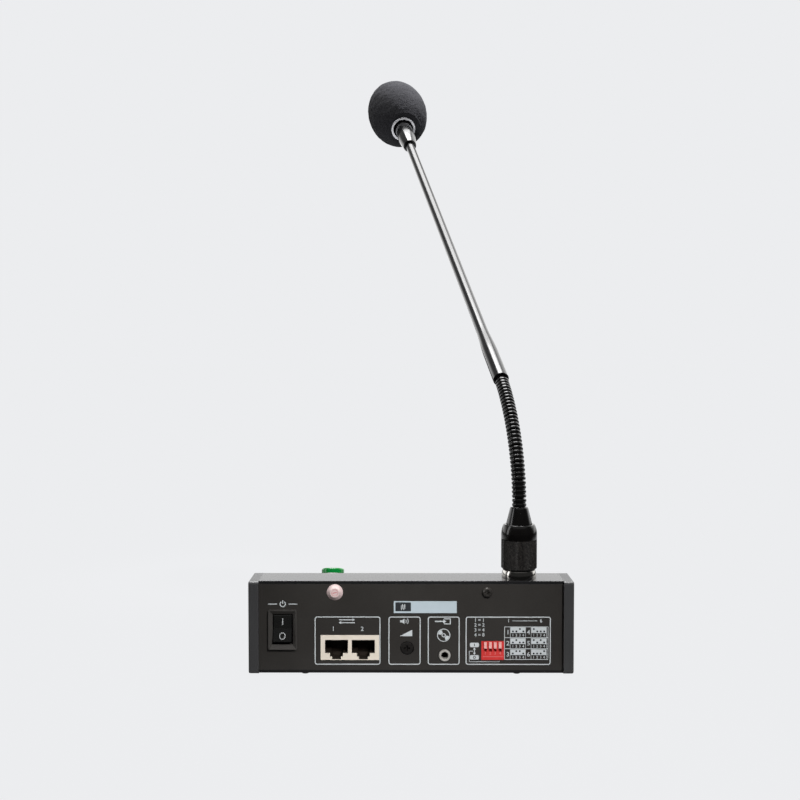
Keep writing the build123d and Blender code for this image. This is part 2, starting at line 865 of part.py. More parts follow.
with BuildPart() as volume_rotor:
    with BuildSketch(trimmer_plane):
        Circle(trimmer_radius)
    extrude(amount=-trimmer_disc)
    fillet(volume_rotor.faces().sort_by(Axis.Y)[-1].edges(), trimmer_edge_radius)
    add(
        cross_recess(trimmer_cross_arm, trimmer_cross_width, trimmer_cross_depth, trimmer_plane),
        mode=Mode.SUBTRACT,
    )
    with BuildSketch(rear_plane(trimmer_x, trimmer_z, trimmer_back)):
        Circle(trimmer_shaft_radius)
    extrude(amount=-trimmer_shaft_length)
save(volume_rotor.part, "volume_rotor")

with BuildPart() as volume_body:
    with Locations(
        (
            trimmer_x,
            trimmer_back - trimmer_fit - trimmer_body_depth / 2,
            board_top + trimmer_body_height / 2,
        )
    ):
        Box(trimmer_body_width, trimmer_body_depth, trimmer_body_height)
    with BuildSketch(rear_plane(trimmer_x, trimmer_z, trimmer_back)):
        Circle(trimmer_shaft_radius + trimmer_fit)
    extrude(amount=-(trimmer_shaft_length + trimmer_fit + solder_gap), mode=Mode.SUBTRACT)
save(volume_body.part, "volume_body")

# Line-in jack: plated ring in the panel and a black body behind it
jack_face = panel_face + jack_stand
jack_body_front = board_rear + solder_gap

with BuildPart() as jack_ring:
    with BuildSketch(rear_plane(jack_x, jack_z, jack_face)):
        Circle(jack_ring_radius)
    extrude(amount=-(jack_face - jack_body_front))
    chamfer(jack_ring.faces().sort_by(Axis.Y)[-1].edges(), jack_ring_edge)
    with BuildSketch(rear_plane(jack_x, jack_z, jack_face)):
        Circle(jack_bore_radius)
    extrude(amount=-(jack_face - jack_body_front), mode=Mode.SUBTRACT)
save(jack_ring.part, "jack_ring")

with BuildPart() as jack_body:
    with Locations(
        (jack_x, jack_body_front - jack_body_depth / 2, board_top + jack_body_height / 2)
    ):
        Box(jack_body_width, jack_body_depth, jack_body_height)
    with BuildSketch(rear_plane(jack_x, jack_z, jack_body_front)):
        Circle(jack_bore_radius)
    extrude(amount=-jack_bore_depth, mode=Mode.SUBTRACT)
save(jack_body.part, "jack_body")

# Address switch: a red block with four white sliders, all pushed up
dip_face = panel_face - dip_sink
slot_top = board_top + dip_height - dip_slot_top_wall
slot_z = slot_top - dip_slot_height / 2
slider_z = slot_top - dip_slider_clearance - dip_slider_height / 2
dip_xs = [dip_x - (i - (dip_count - 1) / 2) * dip_pitch for i in range(dip_count)]

with BuildPart() as dip_body:
    with Locations((dip_x, dip_face - dip_depth / 2, dip_z)):
        Box(dip_width, dip_depth, dip_height)
    with BuildSketch(rear_plane(0, slot_z, dip_face)):
        with Locations(*[(-x, 0) for x in dip_xs]):
            Rectangle(dip_slot_width, dip_slot_height)
    extrude(amount=-dip_slot_depth, mode=Mode.SUBTRACT)
save(dip_body.part, "dip_body")

slider_depth = dip_slot_depth - dip_slider_clearance + dip_slider_stand
for number, x in enumerate(dip_xs, start=1):
    with BuildPart() as slider:
        with Locations((x, dip_face + dip_slider_stand - slider_depth / 2, slider_z)):
            Box(dip_slider_width, slider_depth, dip_slider_height)
    save(slider.part, f"dip_slider_{number}")

# Key board hung under the deck on four posts
key_board_centre = key_board_start + key_board_length / 2
with BuildPart() as key_board:
    with BuildSketch(deck_plane(0, key_board_centre, -key_board_drop)):
        Rectangle(key_board_width, key_board_length)
    extrude(amount=-key_board_thickness)
save(key_board.part, "key_board")

with BuildPart() as key_board_posts:
    for x, along in post_places:
        with BuildSketch(deck_plane(x, along, -cover_sheet)):
            Circle(key_post_radius)
        extrude(amount=-(key_board_drop - cover_sheet))
save(key_board_posts.part, "key_board_posts")


# Buttons: a cap above the deck, a flange that stops under it and a stem in its switch
def button_switch(plane_of, size, height):
    """Square switch on the key board, with a blind hole for the button's stem."""
    with BuildPart() as piece:
        with BuildSketch(plane_of(-key_board_drop)):
            Rectangle(size, size)
        extrude(amount=height)
        with BuildSketch(plane_of(-key_board_drop + height)):
            Circle(stem_radius + stem_clearance)
        extrude(amount=-(height - stem_bottom_gap), mode=Mode.SUBTRACT)
    return piece.part


with BuildPart() as talk_bezel:
    with BuildSketch(talk_plane):
        Circle(talk_bezel_radius)
    extrude(amount=talk_bezel_stand)
    chamfer(talk_bezel.faces().sort_by(deck_axis)[-1].edges(), talk_bezel_edge)
    with BuildSketch(talk_plane):
        Circle(talk_hole_radius - solder_gap)
    extrude(amount=-cover_sheet)
    with BuildSketch(talk_plane):
        Circle(talk_radius + talk_clearance)
    extrude(amount=cover_sheet + overrun, both=True, mode=Mode.SUBTRACT)
save(talk_bezel.part, "talk_bezel")

with BuildPart() as talk_button:
    with BuildSketch(deck_plane(talk_x, talk_along, -cover_sheet)):
        Circle(talk_radius)
    extrude(amount=cover_sheet + talk_stand)
    fillet(talk_button.faces().sort_by(deck_axis)[-1].edges(), talk_edge)
    with BuildSketch(deck_plane(talk_x, talk_along, -cover_sheet)):
        Circle(talk_flange_radius)
    extrude(amount=-talk_flange)
    with BuildSketch(deck_plane(talk_x, talk_along, -cover_sheet - talk_flange)):
        Circle(stem_radius)
    extrude(amount=-stem_length + talk_flange)
save(talk_button.part, "talk_button")
save(
    button_switch(lambda lift: deck_plane(talk_x, talk_along, lift), talk_switch_size, talk_switch_height),
    "talk_switch",
)

for number, x in enumerate(zone_xs, start=1):
    with BuildPart() as zone_key:
        with BuildSketch(deck_plane(x, zone_along, -cover_sheet)):
            RectangleRounded(zone_width, zone_length, zone_corner)
        extrude(amount=cover_sheet + zone_stand)
        fillet(zone_key.faces().sort_by(deck_axis)[-1].edges(), zone_edge)
        with BuildSketch(deck_plane(x, zone_along, -cover_sheet)):
            RectangleRounded(
                zone_width + 2 * zone_flange_reach, zone_length + 2 * zone_flange_reach, zone_corner
            )
        extrude(amount=-zone_flange)
        with BuildSketch(deck_plane(x, zone_along, -cover_sheet - zone_flange)):
            Circle(stem_radius)
        extrude(amount=-stem_length + zone_flange)
    save(zone_key.part, f"zone_key_{number}")
group(
    [
        button_switch(lambda lift, x=x: deck_plane(x, zone_along, lift), key_switch_size, key_switch_height)
        for x in zone_xs
    ],
    "key_switches",
)

with BuildPart() as indicator_lamps:
    for x in lamp_xs:
        with BuildSketch(deck_plane(x, lamp_along, -key_board_drop)):
            Circle(lamp_radius)
        extrude(amount=key_board_drop + lamp_stand)
        with BuildSketch(deck_plane(x, lamp_along, -key_board_drop)):
            Circle(lamp_flange_radius)
        extrude(amount=lamp_flange)
    lamp_tops = indicator_lamps.faces().filter_by(deck).group_by(deck_axis)[-1]
    fillet(lamp_tops.edges(), lamp_stand)
save(indicator_lamps.part, "indicator_lamps")

# Microphone socket: plated flange on the strip, threaded barrel through the cover
mic_section = Plane(origin=(mic_x, mic_y, case_top), x_dir=(1, 0, 0), z_dir=(0, -1, 0))
mic_axis = Axis((mic_x, mic_y, case_top), (0, 0, 1))


flange_mid = (
    (socket_flange_radius + socket_flange_top_radius) / 2 + socket_flange_foot / 4,
    (socket_flange_foot + socket_flange_height) / 2,
)
save(
    turned(
        [
            (socket_bore_radius, -socket_drop),
            (socket_barrel_radius, -socket_drop),
            (socket_barrel_radius, 0),
            (socket_flange_radius, 0),
            (socket_flange_radius, socket_flange_foot),
            (socket_flange_top_radius, socket_flange_height),
            (socket_thread_radius, socket_flange_height),
            (socket_thread_radius, socket_top),
            (socket_bore_radius, socket_top),
        ],
        mic_section,
        mic_axis,
        arc=(4, flange_mid),
    ),
    "mic_socket",
)

with BuildPart() as socket_nut:
    with BuildSketch(Plane(origin=(mic_x, mic_y, cover_under), x_dir=(1, 0, 0), z_dir=(0, 0, -1))):
        RegularPolygon(socket_nut_across / 2, nut_sides, major_radius=False)
        Circle(socket_barrel_radius + screw_thread_clearance, mode=Mode.SUBTRACT)
    extrude(amount=socket_nut_height)
save(socket_nut.part, "socket_nut")

insert_top = case_top + socket_top - plug_gap - pin_length / 2
with BuildPart() as socket_insert:
    with BuildSketch(Plane(origin=(mic_x, mic_y, insert_top), z_dir=(0, 0, -1))):
        Circle(socket_bore_radius - insert_fit)
    extrude(amount=insert_height)
    with BuildSketch(Plane(origin=(mic_x, mic_y, insert_top), z_dir=(0, 0, -1))):
        with PolarLocations(pin_circle_radius, pin_count):
            Circle(pin_radius + pin_hole_clearance)
    extrude(amount=pin_hole_depth, mode=Mode.SUBTRACT)
save(socket_insert.part, "socket_insert")

# Microphone plug: pins and a spigot in the socket, a flange on its rim and a post above
plug_seat = case_top + socket_top
plug_top = plug_seat + plug_flange_height
spigot_bottom = insert_top + plug_gap
with BuildPart() as mic_plug:
    with BuildSketch(Plane(origin=(mic_x, mic_y, spigot_bottom))):
        Circle(socket_bore_radius - plug_spigot_fit)
    extrude(amount=plug_seat - spigot_bottom)
    with BuildSketch(Plane(origin=(mic_x, mic_y, plug_seat))):
        Circle(plug_flange_radius)
    extrude(amount=plug_flange_height)
    with BuildSketch(Plane(origin=(mic_x, mic_y, plug_top))):
        Circle(plug_post_radius)
    extrude(amount=plug_post_height)
    with BuildSketch(Plane(origin=(mic_x, mic_y, spigot_bottom), z_dir=(0, 0, -1))):
        with PolarLocations(pin_circle_radius, pin_count):
            Circle(pin_radius)
    extrude(amount=pin_length)
save(mic_plug.part, "mic_plug")

# Coupling nut: knurled band, a smooth taper above it and a lid round the tail
nut_low = nut_bottom
nut_shoulder = nut_low + nut_knurl_height
nut_high = nut_shoulder + nut_taper_height
thread_radius = socket_thread_radius + nut_thread_clearance
chamber_radius = nut_top_radius - nut_land
chamber_low = socket_top + plug_flange_height + tail_gap
taper_mid = ((nut_radius + nut_top_radius) / 2 + nut_taper_bulge, (nut_shoulder + nut_high) / 2)
coupling = turned(
    [
        (thread_radius, nut_low),
        (nut_radius - nut_edge_radius, nut_low),
        (nut_radius, nut_low + nut_edge_radius),
        (nut_radius, nut_shoulder),
        (nut_top_radius, nut_high),
        (tail_foot_radius + tail_gap, nut_high),
        (tail_foot_radius + tail_gap, nut_high - nut_lid),
        (chamber_radius, nut_high - nut_lid),
        (chamber_radius, socket_top),
        (thread_radius, socket_top),
    ],
    mic_section,
    mic_axis,
    arc=(3, taper_mid),
)
save(coupling, "coupling_nut")

# Tail: a drum held under the nut's lid, then a cone that the gooseneck rises from
drum_radius = chamber_radius - tail_gap
drum_top = nut_high - nut_lid - tail_gap
cone_top = nut_high + tail_cone_height
post_radius = plug_post_radius + insert_fit
post_top = socket_top + plug_flange_height + plug_post_height + tail_gap
root_seat = cone_top - neck_root_depth
save(
    turned(
        [
            (post_radius, chamber_low),
            (drum_radius, chamber_low),
            (drum_radius, drum_top),
            (tail_foot_radius, drum_top),
            (tail_foot_radius, nut_high),
            (tail_top_radius, cone_top - tail_edge),
            (tail_top_radius - tail_edge, cone_top),
            (tail_bore_radius, cone_top),
            (tail_bore_radius, root_seat),
            (lead_bore_radius, root_seat),
            (lead_bore_radius, post_top),
            (post_radius, post_top),
        ],
        mic_section,
        mic_axis,
    ),
    "tail_cone",
)

# Gooseneck line: hinge places and the direction of each link, from root to wand
heading = Vector(sin(radians(neck_heading)), -cos(radians(neck_heading)), 0)
side_dir = Vector(cos(radians(neck_heading)), sin(radians(neck_heading)), 0)


def lean_dir(lean):
    """Unit direction that leans from upright towards the heading by an angle in degrees."""
    return heading * sin(radians(lean)) + Vector(0, 0, 1) * cos(radians(lean))


def link_lean(i):
    """Lean of link i at rest; the wand counts as the one after the last link."""
    if i < 0:
        return 0.0
    if i >= neck_links:
        return wand_lean
    return wand_lean * ((i + first_bend_share) / (neck_links + 1)) ** bend_exponent


link_length = link_ribs * rib_pitch
neck_start = Vector(mic_x, mic_y, case_top + cone_top)
hinge_places = [neck_start + Vector(0, 0, 1) * (root_ribs * rib_pitch)]
for i in range(neck_links):
    hinge_places.append(hinge_places[-1] + lean_dir(link_lean(i)) * link_length)
bend_angles = [link_lean(i) - link_lean(i - 1) for i in range(neck_links + 1)]


def ribbed_link(start, direction, ribs, low_gap, high_gap, ball, plain_below=0, plain_radius=0):
    """Ribbed stretch of gooseneck from start, with a ball at its foot or a plain root below it."""

    def plane_at(distance):
        return Plane(origin=start + direction * distance, x_dir=side_dir, z_dir=direction)

    length = ribs * rib_pitch
    flank = (rib_pitch - link_gap - rib_crest_share * rib_pitch) / 2
    with BuildPart() as piece:
        for i in range(ribs):
            base = i * rib_pitch
            stations = [
                (base + link_gap / 2, valley_radius),
                (base + link_gap / 2 + flank, rib_radius),
                (base + link_gap / 2 + flank + rib_crest_share * rib_pitch, rib_radius),
                (base + rib_pitch - link_gap / 2, valley_radius),
            ]
            for distance, radius in stations:
                with BuildSketch(plane_at(distance)):
                    Circle(radius)
            loft(ruled=True)
        valleys = [(i * rib_pitch - link_gap / 2, i * rib_pitch + link_gap / 2) for i in range(1, ribs)]
        if not low_gap:
            valleys.append((0, link_gap / 2))
        if not high_gap:
            valleys.append((length - link_gap / 2, length))
        for low, high in valleys:
            with BuildSketch(plane_at(low)):
                Circle(valley_radius)
            extrude(amount=high - low)
        if plain_below:
            with BuildSketch(plane_at(0)):
                Circle(plain_radius)
            extrude(amount=-plain_below)
        if high_gap:
            with BuildSketch(plane_at(length)):
                Circle(ball_radius + ball_fit)
            extrude(amount=-socket_reach, mode=Mode.SUBTRACT)
        if ball:
            with Locations(Location(start)):
                Sphere(ball_radius)
        with BuildSketch(plane_at(length)):
            Circle(lead_bore_radius)
        extrude(amount=-(length + plain_below + ball_radius + overrun), mode=Mode.SUBTRACT)
    return piece.part


save(
    ribbed_link(
        neck_start, Vector(0, 0, 1), root_ribs, False, True, False, neck_root_depth, tail_bore_radius - insert_fit
    ),
    "neck_root",
)
for i in range(neck_links):
    save(
        ribbed_link(hinge_places[i], lean_dir(link_lean(i)), link_ribs, True, True, True),
        f"neck_link_{i + 1}",
    )

# Wand: everything carried above the last hinge, drawn along its own line
wand_dir = lean_dir(wand_lean)
wand_foot = hinge_places[-1]
wand_section = Plane(origin=wand_foot, x_dir=side_dir, z_dir=side_dir.cross(wand_dir))
wand_axis = Axis(wand_foot, wand_dir)
rim = flare_start_length
tip_radius = rib_radius - neck_tip_fit


def wand_plane(distance):
    return Plane(origin=wand_foot + wand_dir * distance, x_dir=side_dir, z_dir=wand_dir)


with BuildPart() as neck_tip:
    with BuildSketch(wand_plane(link_gap / 2)):
        Circle(valley_radius)
    extrude(amount=rim - link_gap / 2)
    with BuildSketch(wand_plane(rim)):
        Circle(tip_radius)
    extrude(amount=neck_tip_depth)
    with Locations(Location(wand_foot)):
        Sphere(ball_radius)
    with BuildSketch(wand_plane(rim + neck_tip_depth)):
        Circle(lead_bore_radius)
    extrude(amount=-(rim + neck_tip_depth + ball_radius + overrun), mode=Mode.SUBTRACT)
save(neck_tip.part, "neck_tip")

cylinder_end = rim + flare_length
cone_end = cylinder_end + flare_cone_length
tube_end = cone_end + tube_length
tube_bore = tube_radius - tube_wall
save(
    turned(
        [
            (tip_radius + ball_fit, rim),
            (flare_radius - flare_edge, rim),
            (flare_radius, rim + flare_edge),
            (flare_radius, cylinder_end),
            (tube_radius, cone_end),
            (tube_radius, tube_end),
            (tube_bore, tube_end),
            (tube_bore, cylinder_end),
            (tip_radius + ball_fit, cylinder_end - tube_wall),
        ],
        wand_section,
        wand_axis,
    ),
    "mic_tube",
)

# Capsule housing: a cone that swallows the tube's end, then a barrel under the foam
housing_start = tube_end - housing_overlap_length
housing_widest = housing_start + housing_cone_length
housing_end = housing_widest + housing_barrel_length
housing_bore = housing_end_radius - housing_wall
capsule_seat = housing_end - capsule_recess - capsule_height
save(
    turned(
        [
            (tube_radius + neck_tip_fit / 2, housing_start),
            (housing_start_radius - housing_edge, housing_start),
            (housing_start_radius, housing_start + housing_edge),
            (housing_end_radius, housing_widest),
            (housing_end_radius, housing_end),
            (capsule_radius + insert_fit, housing_end),
            (capsule_radius + insert_fit, capsule_seat),
            (capsule_radius - capsule_seat_wall, capsule_seat),
            (capsule_radius - capsule_seat_wall, capsule_seat - capsule_seat_wall),
            (housing_bore, capsule_seat - capsule_seat_wall),
            (housing_bore, housing_widest),
            (tube_radius + neck_tip_fit / 2, tube_end + tube_wall),
        ],
        wand_section,
        wand_axis,
    ),
    "capsule_housing",
)

with BuildPart() as capsule:
    with BuildSketch(wand_plane(capsule_seat)):
        Circle(capsule_radius)
    extrude(amount=capsule_height)
    with BuildSketch(wand_plane(capsule_seat + capsule_height)):
        with PolarLocations(grille_circle_radius, grille_holes):
            Circle(grille_hole_radius)
    extrude(amount=-capsule_seat_wall, mode=Mode.SUBTRACT)
save(capsule.part, "capsule")

# Windscreen: an egg of foam cut flat at its mouth, with a ring pressed into it
mouth = housing_widest - ring_stand
foam_centre = mouth + foam_mouth_depth
mouth_radius = foam_radius * sqrt(1 - (foam_mouth_depth / foam_half_length) ** 2)
mouth_angle = degrees(atan2(-foam_mouth_depth / foam_half_length, mouth_radius / foam_radius))
foam_bore = housing_end_radius + foam_bore_clearance

with BuildPart() as windscreen:
    with BuildSketch(wand_section):
        with BuildLine():
            Polyline(
                (0, foam_centre + foam_half_length),
                (0, housing_end + foam_bore_end_gap),
                (foam_bore, housing_end + foam_bore_end_gap),
                (foam_bore, mouth + ring_length),
                (ring_outer_radius + ring_fit, mouth + ring_length),
                (ring_outer_radius + ring_fit, mouth),
                (mouth_radius, mouth),
            )
            EllipticalCenterArc(
                (0, foam_centre),
                foam_radius,
                foam_half_length,
                start_angle=mouth_angle,
                arc_size=90 - mouth_angle,
            )
        make_face()
    revolve(axis=wand_axis)
save(windscreen.part, "windscreen")

save(
    turned(
        [
            (ring_inner_radius, mouth - ring_stand),
            (ring_outer_radius - flare_edge, mouth - ring_stand),
            (ring_outer_radius, mouth - ring_stand + flare_edge),
            (ring_outer_radius, mouth + ring_length - ring_fit),
            (ring_inner_radius, mouth + ring_length - ring_fit),
        ],
        wand_section,
        wand_axis,
    ),
    "windscreen_ring",
)
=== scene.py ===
"""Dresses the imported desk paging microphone: finishes, fine pieces, studio light and camera.

The frame is the desk's: +Z is up, the user sits on the -Y side and the camera looks at the rear
panel from +Y. Lengths are millimetres until a mesh is placed, when they become metres.
"""

import json
from math import atan2, cos, pi, radians, sin, sqrt

import bmesh
import bpy
from mathutils import Matrix, Vector, noise


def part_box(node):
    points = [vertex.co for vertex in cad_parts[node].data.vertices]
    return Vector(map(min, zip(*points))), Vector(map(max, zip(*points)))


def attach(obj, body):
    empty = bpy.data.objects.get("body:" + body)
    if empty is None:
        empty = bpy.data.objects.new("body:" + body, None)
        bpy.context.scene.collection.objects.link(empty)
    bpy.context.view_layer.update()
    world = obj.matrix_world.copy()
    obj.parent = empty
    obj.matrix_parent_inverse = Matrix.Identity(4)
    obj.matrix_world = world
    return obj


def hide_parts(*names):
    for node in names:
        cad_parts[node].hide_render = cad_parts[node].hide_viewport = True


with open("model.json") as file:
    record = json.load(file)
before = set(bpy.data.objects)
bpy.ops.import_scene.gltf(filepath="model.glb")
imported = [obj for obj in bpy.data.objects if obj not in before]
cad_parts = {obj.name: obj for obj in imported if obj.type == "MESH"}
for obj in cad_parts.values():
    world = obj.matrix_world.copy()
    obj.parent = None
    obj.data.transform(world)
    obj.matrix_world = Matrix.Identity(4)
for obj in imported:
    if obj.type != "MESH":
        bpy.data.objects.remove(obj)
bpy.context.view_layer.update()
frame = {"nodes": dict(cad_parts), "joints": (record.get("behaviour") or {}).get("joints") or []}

MM = 0.001
# Nearly all values of a noise lie between these two
NOISE_SPAN = {"From Min": 0.3, "From Max": 0.7}
scene = bpy.context.scene
nodes = frame["nodes"]
joints = {joint["name"]: joint for joint in frame["joints"]}


# Finishes


def linear(code):
    """Linear colour of an sRGB hex value."""
    shares = [int(code[i : i + 2], 16) / 255 for i in (1, 3, 5)]
    return [s / 12.92 if s <= 0.04045 else ((s + 0.055) / 1.055) ** 2.4 for s in shares] + [1.0]


def add(tree, kind, feeds=None, **settings):
    """One node with its settings; a feed is a plain value or the socket that it comes from."""
    node = tree.nodes.new(kind)
    for key, value in settings.items():
        setattr(node, key, value)
    for key, value in (feeds or {}).items():
        if isinstance(value, bpy.types.NodeSocket):
            tree.links.new(value, node.inputs[key])
        else:
            node.inputs[key].default_value = value
    return node


def blank_material(name):
    """A new material and its empty tree."""
    material = bpy.data.materials.new(name)
    material.use_nodes = True
    material.node_tree.nodes.clear()
    return material, material.node_tree


def finish(name, colour, second, patch, grain, depth, roughness, spread=0.06, worn=None, **shader):
    """A finish whose colour drifts to a second one over patches and whose surface has a grain.

    patch, grain and depth are millimetres. worn is a colour that shows on edges that turn within
    edge_reach. shader goes to the Principled BSDF as it is.
    """
    edge_reach = 0.35
    material, tree = blank_material(name)
    place = add(tree, "ShaderNodeTexCoord").outputs["Object"]
    drift = add(tree, "ShaderNodeTexNoise", {"Vector": place, "Scale": 1 / (patch * MM), "Detail": 4.0})
    spans = add(tree, "ShaderNodeMapRange", {"Value": drift.outputs["Fac"], **NOISE_SPAN}).outputs[0]
    fine = add(tree, "ShaderNodeTexNoise", {"Vector": place, "Scale": 1 / (grain * MM), "Detail": 2.0})
    colours = {0: spans, 6: linear(colour), 7: linear(second)}
    tint = add(tree, "ShaderNodeMix", colours, data_type="RGBA").outputs[2]
    if worn:
        soft = add(tree, "ShaderNodeBevel", {"Radius": edge_reach * MM}, samples=4).outputs[0]
        hard = add(tree, "ShaderNodeNewGeometry").outputs["Normal"]
        turn = add(tree, "ShaderNodeVectorMath", {0: soft, 1: hard}, operation="DOT_PRODUCT")
        turned_away = {"Value": turn.outputs["Value"], "From Min": 0.97, "From Max": 0.80}
        edge = add(tree, "ShaderNodeMapRange", turned_away).outputs[0]
        rubbed = add(tree, "ShaderNodeMath", {0: edge, 1: spans}, operation="MULTIPLY").outputs[0]
        tint = add(tree, "ShaderNodeMix", {0: rubbed, 6: tint, 7: linear(worn)}, data_type="RGBA").outputs[2]
    gloss = {"To Min": max(0.02, roughness - spread), "To Max": min(1.0, roughness + spread)}
    sheen = add(tree, "ShaderNodeMapRange", {"Value": fine.outputs["Fac"], **NOISE_SPAN, **gloss}).outputs[0]
    bumps = {"Height": fine.outputs["Fac"], "Distance": depth * MM, "Strength": 1.0}
    relief = add(tree, "ShaderNodeBump", bumps).outputs[0]
    looks = {"Base Color": tint, "Roughness": sheen, "Normal": relief, **shader}
    surface = add(tree, "ShaderNodeBsdfPrincipled", looks)
    add(tree, "ShaderNodeOutputMaterial", {"Surface": surface.outputs[0]})
    return material


finishes = {
    # Folded steel with satin powder coat: black, with a faint orange peel half a millimetre wide
    "console_sheet": finish(
        "satin_powder_coat", "#1b1b1c", "#202021", 40, 0.6, 0.003, 0.22, 0.03, worn="#3a3a3c", IOR=1.5
    ),
    # Steel plate with fine textured enamel: charcoal grey that stays dull under a direct light
    "rear_panel_paint": finish(
        "textured_enamel", "#2f2d2b", "#353331", 26, 0.45, 0.030, 0.56, 0.08, worn="#4a4a4a", IOR=1.5
    ),
    # The tray wears the same coat as the cover, but with less gloss where it was hung to dry
    "tray_steel": finish("dull_powder_coat", "#161617", "#1c1c1d", 30, 0.6, 0.012, 0.48, IOR=1.5),
    # ABS from a spark-eroded mould: dark grey with a tight matt grain
    "cheek_plastic": finish(
        "spark_textured_abs", "#3a3a3b", "#414142", 22, 0.5, 0.010, 0.36, 0.05, worn="#5c5c5e", IOR=1.53
    ),
    # Moulded rubber: almost black and without any gloss
    "black_rubber": finish("moulded_rubber", "#0d0d0d", "#151514", 6, 0.5, 0.03, 0.85, IOR=1.52),
    # Steel screw in black oxide: dark, with bare metal on its high edges
    "black_screw": finish(
        "oxide_blacked_steel", "#3c3a38", "#484542", 2.2, 0.25, 0.008, 0.34, 0.08, worn="#7c7873",
        Metallic=0.5,
    ),
    # Steel in bright zinc plate: pale grey with a blue cast
    "zinc_screw": finish("zinc_plated_steel", "#a9adb0", "#8f9397", 2.5, 0.3, 0.006, 0.32, Metallic=1.0),
    # Void-seal paper: pale pink, fibrous and dull
    "seal_paper": finish("seal_paper", "#d8c3c1", "#cdb7b5", 2.0, 0.35, 0.02, 0.72, IOR=1.5),
    # Polyester label film printed silver grey: even and satin
    "label_film": finish("label_polyester", "#bac7ce", "#b2bfc6", 9, 0.6, 0.004, 0.38, IOR=1.57),
    # Glass-epoxy board under green solder mask, with the weave of the glass just showing
    "board_green": finish("solder_masked_board", "#0d4a2b", "#0f5934", 5, 0.7, 0.010, 0.28, IOR=1.55),
    # Moulded epoxy of chips and sockets: black with a fine rough grain
    "part_black": finish("moulded_epoxy", "#151516", "#1d1d1e", 4, 0.3, 0.015, 0.55, IOR=1.55),
    # Turned brass spacers, nickelled warm
    "brass_spacer": finish("turned_brass", "#b89b5a", "#a98a49", 3, 0.25, 0.006, 0.28, Metallic=1.0),
    # Nylon of the power switch: black with a low satin gloss and a faint moulded bloom
    "switch_black": finish("moulded_nylon", "#161617", "#1b1b1a", 7, 0.4, 0.006, 0.28, 0.05, IOR=1.53),
    # The frame round it is the same nylon with a spark-eroded grain: charcoal and dull
    "switch_frame": finish("textured_nylon", "#3e3c3a", "#444240", 7, 0.4, 0.020, 0.50, 0.06, IOR=1.53),
    # Tinned brass terminals: soft white metal
    "blade_metal": finish("tinned_brass", "#b9b2a0", "#a39c8b", 2, 0.3, 0.008, 0.35, Metallic=1.0),
    # Gold flash on phosphor bronze springs
    "contact_gold": finish("gold_flashed_bronze", "#d8b25a", "#c59c43", 1.5, 0.3, 0.004, 0.22, Metallic=1.0),
    # Polyamide of the trimmer: black with a dull moulded face
    "trimmer_black": finish("moulded_polyamide", "#1a1918", "#232120", 2.5, 0.3, 0.012, 0.45, IOR=1.53),
    # Bright nickel on turned brass: a mirror whose gloss is finely uneven
    "nickel_plate": finish("bright_nickel", "#c9c6c1", "#b8b5b0", 6, 0.3, 0.002, 0.14, 0.04, Metallic=1.0),
    # Dull nickel of the jack's lip: half of its light is scattered by fine pits
    "jack_nickel": finish("dull_nickel", "#d9d6d0", "#c9c6c0", 3, 0.3, 0.004, 0.34, 0.06, Metallic=0.45),
    # Red thermoplastic of the address switch: strong red with some gloss
    "dip_red": finish("moulded_red_polyester", "#cf403e", "#c23836", 3, 0.3, 0.006, 0.40, IOR=1.55),
    # White thermoplastic sliders, coloured pink as painted reflected light from the red block round them
    "dip_white": finish("white_polyester_painted_red_bounce", "#eeb3ae", "#e6a7a2", 1.5, 0.3, 0.006, 0.34, IOR=1.55),
    # Green polycarbonate of the talk button: deep green with light carried inside it
    "button_green": finish(
        "moulded_green_polycarbonate",
        "#056827",
        "#077630",
        6,
        0.4,
        0.005,
        0.22,
        0.04,
        IOR=1.58,
        **{"Subsurface Weight": 0.25, "Subsurface Radius": (0.4, 1.0, 0.4), "Subsurface Scale": 1.2 * MM},
    ),
    # ABS ring round the talk button
    "bezel_black": finish("polished_abs", "#151516", "#1a1a1b", 6, 0.5, 0.004, 0.20, IOR=1.53),
    # Grey key caps: matt ABS with a fine grain
    "key_grey": finish("matt_abs_keys", "#86888c", "#7d7f83", 9, 0.4, 0.012, 0.48, IOR=1.53),
    # Tinted epoxy of the lamps: clear green dome, dark while unlit
    "lamp_lens": finish(
        "tinted_epoxy", "#1f7a3d", "#237f44", 2, 0.4, 0.002, 0.10, 0.02, IOR=1.56,
        **{"Transmission Weight": 0.35},
    ),
    # Lacquered brass nut: black, dull where it is knurled
    "nut_black": finish(
        "stoved_black_lacquer", "#080707", "#0c0b0a", 5, 0.25, 0.003, 0.17, 0.04, worn="#2c2a29", IOR=1.5
    ),
    # The same lacquer on its knurl: the crests are rubbed and catch more light
    "nut_knurl": finish(
        "knurled_black_lacquer", "#0e0d0d", "#141312", 1.1, 0.25, 0.003, 0.22, 0.06, worn="#34312f", IOR=1.5
    ),
    # Spring steel of the gooseneck in gloss black: liquid highlights on every turn
    "neck_black": finish("gloss_black_enamel", "#0a0a0a", "#0e0d0d", 8, 0.5, 0.003, 0.16, 0.03, IOR=1.5),
    # Drawn aluminium tube in gloss black lacquer: a mirror that only the lights show on
    "tube_black": finish("gloss_black_lacquer", "#0e0e0f", "#131314", 30, 0.8, 0.0012, 0.19, 0.02, IOR=1.5),
    # The housing was sprayed with the tube and has a little more orange peel
    "housing_black": finish(
        "sprayed_black_lacquer", "#0e0e0f", "#131314", 25, 0.8, 0.002, 0.15, 0.02, IOR=1.5
    ),
    # Turned aluminium ring, clear anodised: a pale satin that scatters most of its light
    "ring_silver": finish(
        "clear_anodised_aluminium", "#f6f6f9", "#ececf1", 4, 0.3, 0.004, 0.45, Metallic=0.2
    ),
}

# Screen-printed epoxy ink: pale grey, slightly raised and dull
light_ink = finish("pale_screen_ink", "#c6cbcd", "#bcc1c3", 3, 0.4, 0.004, 0.55, IOR=1.5)
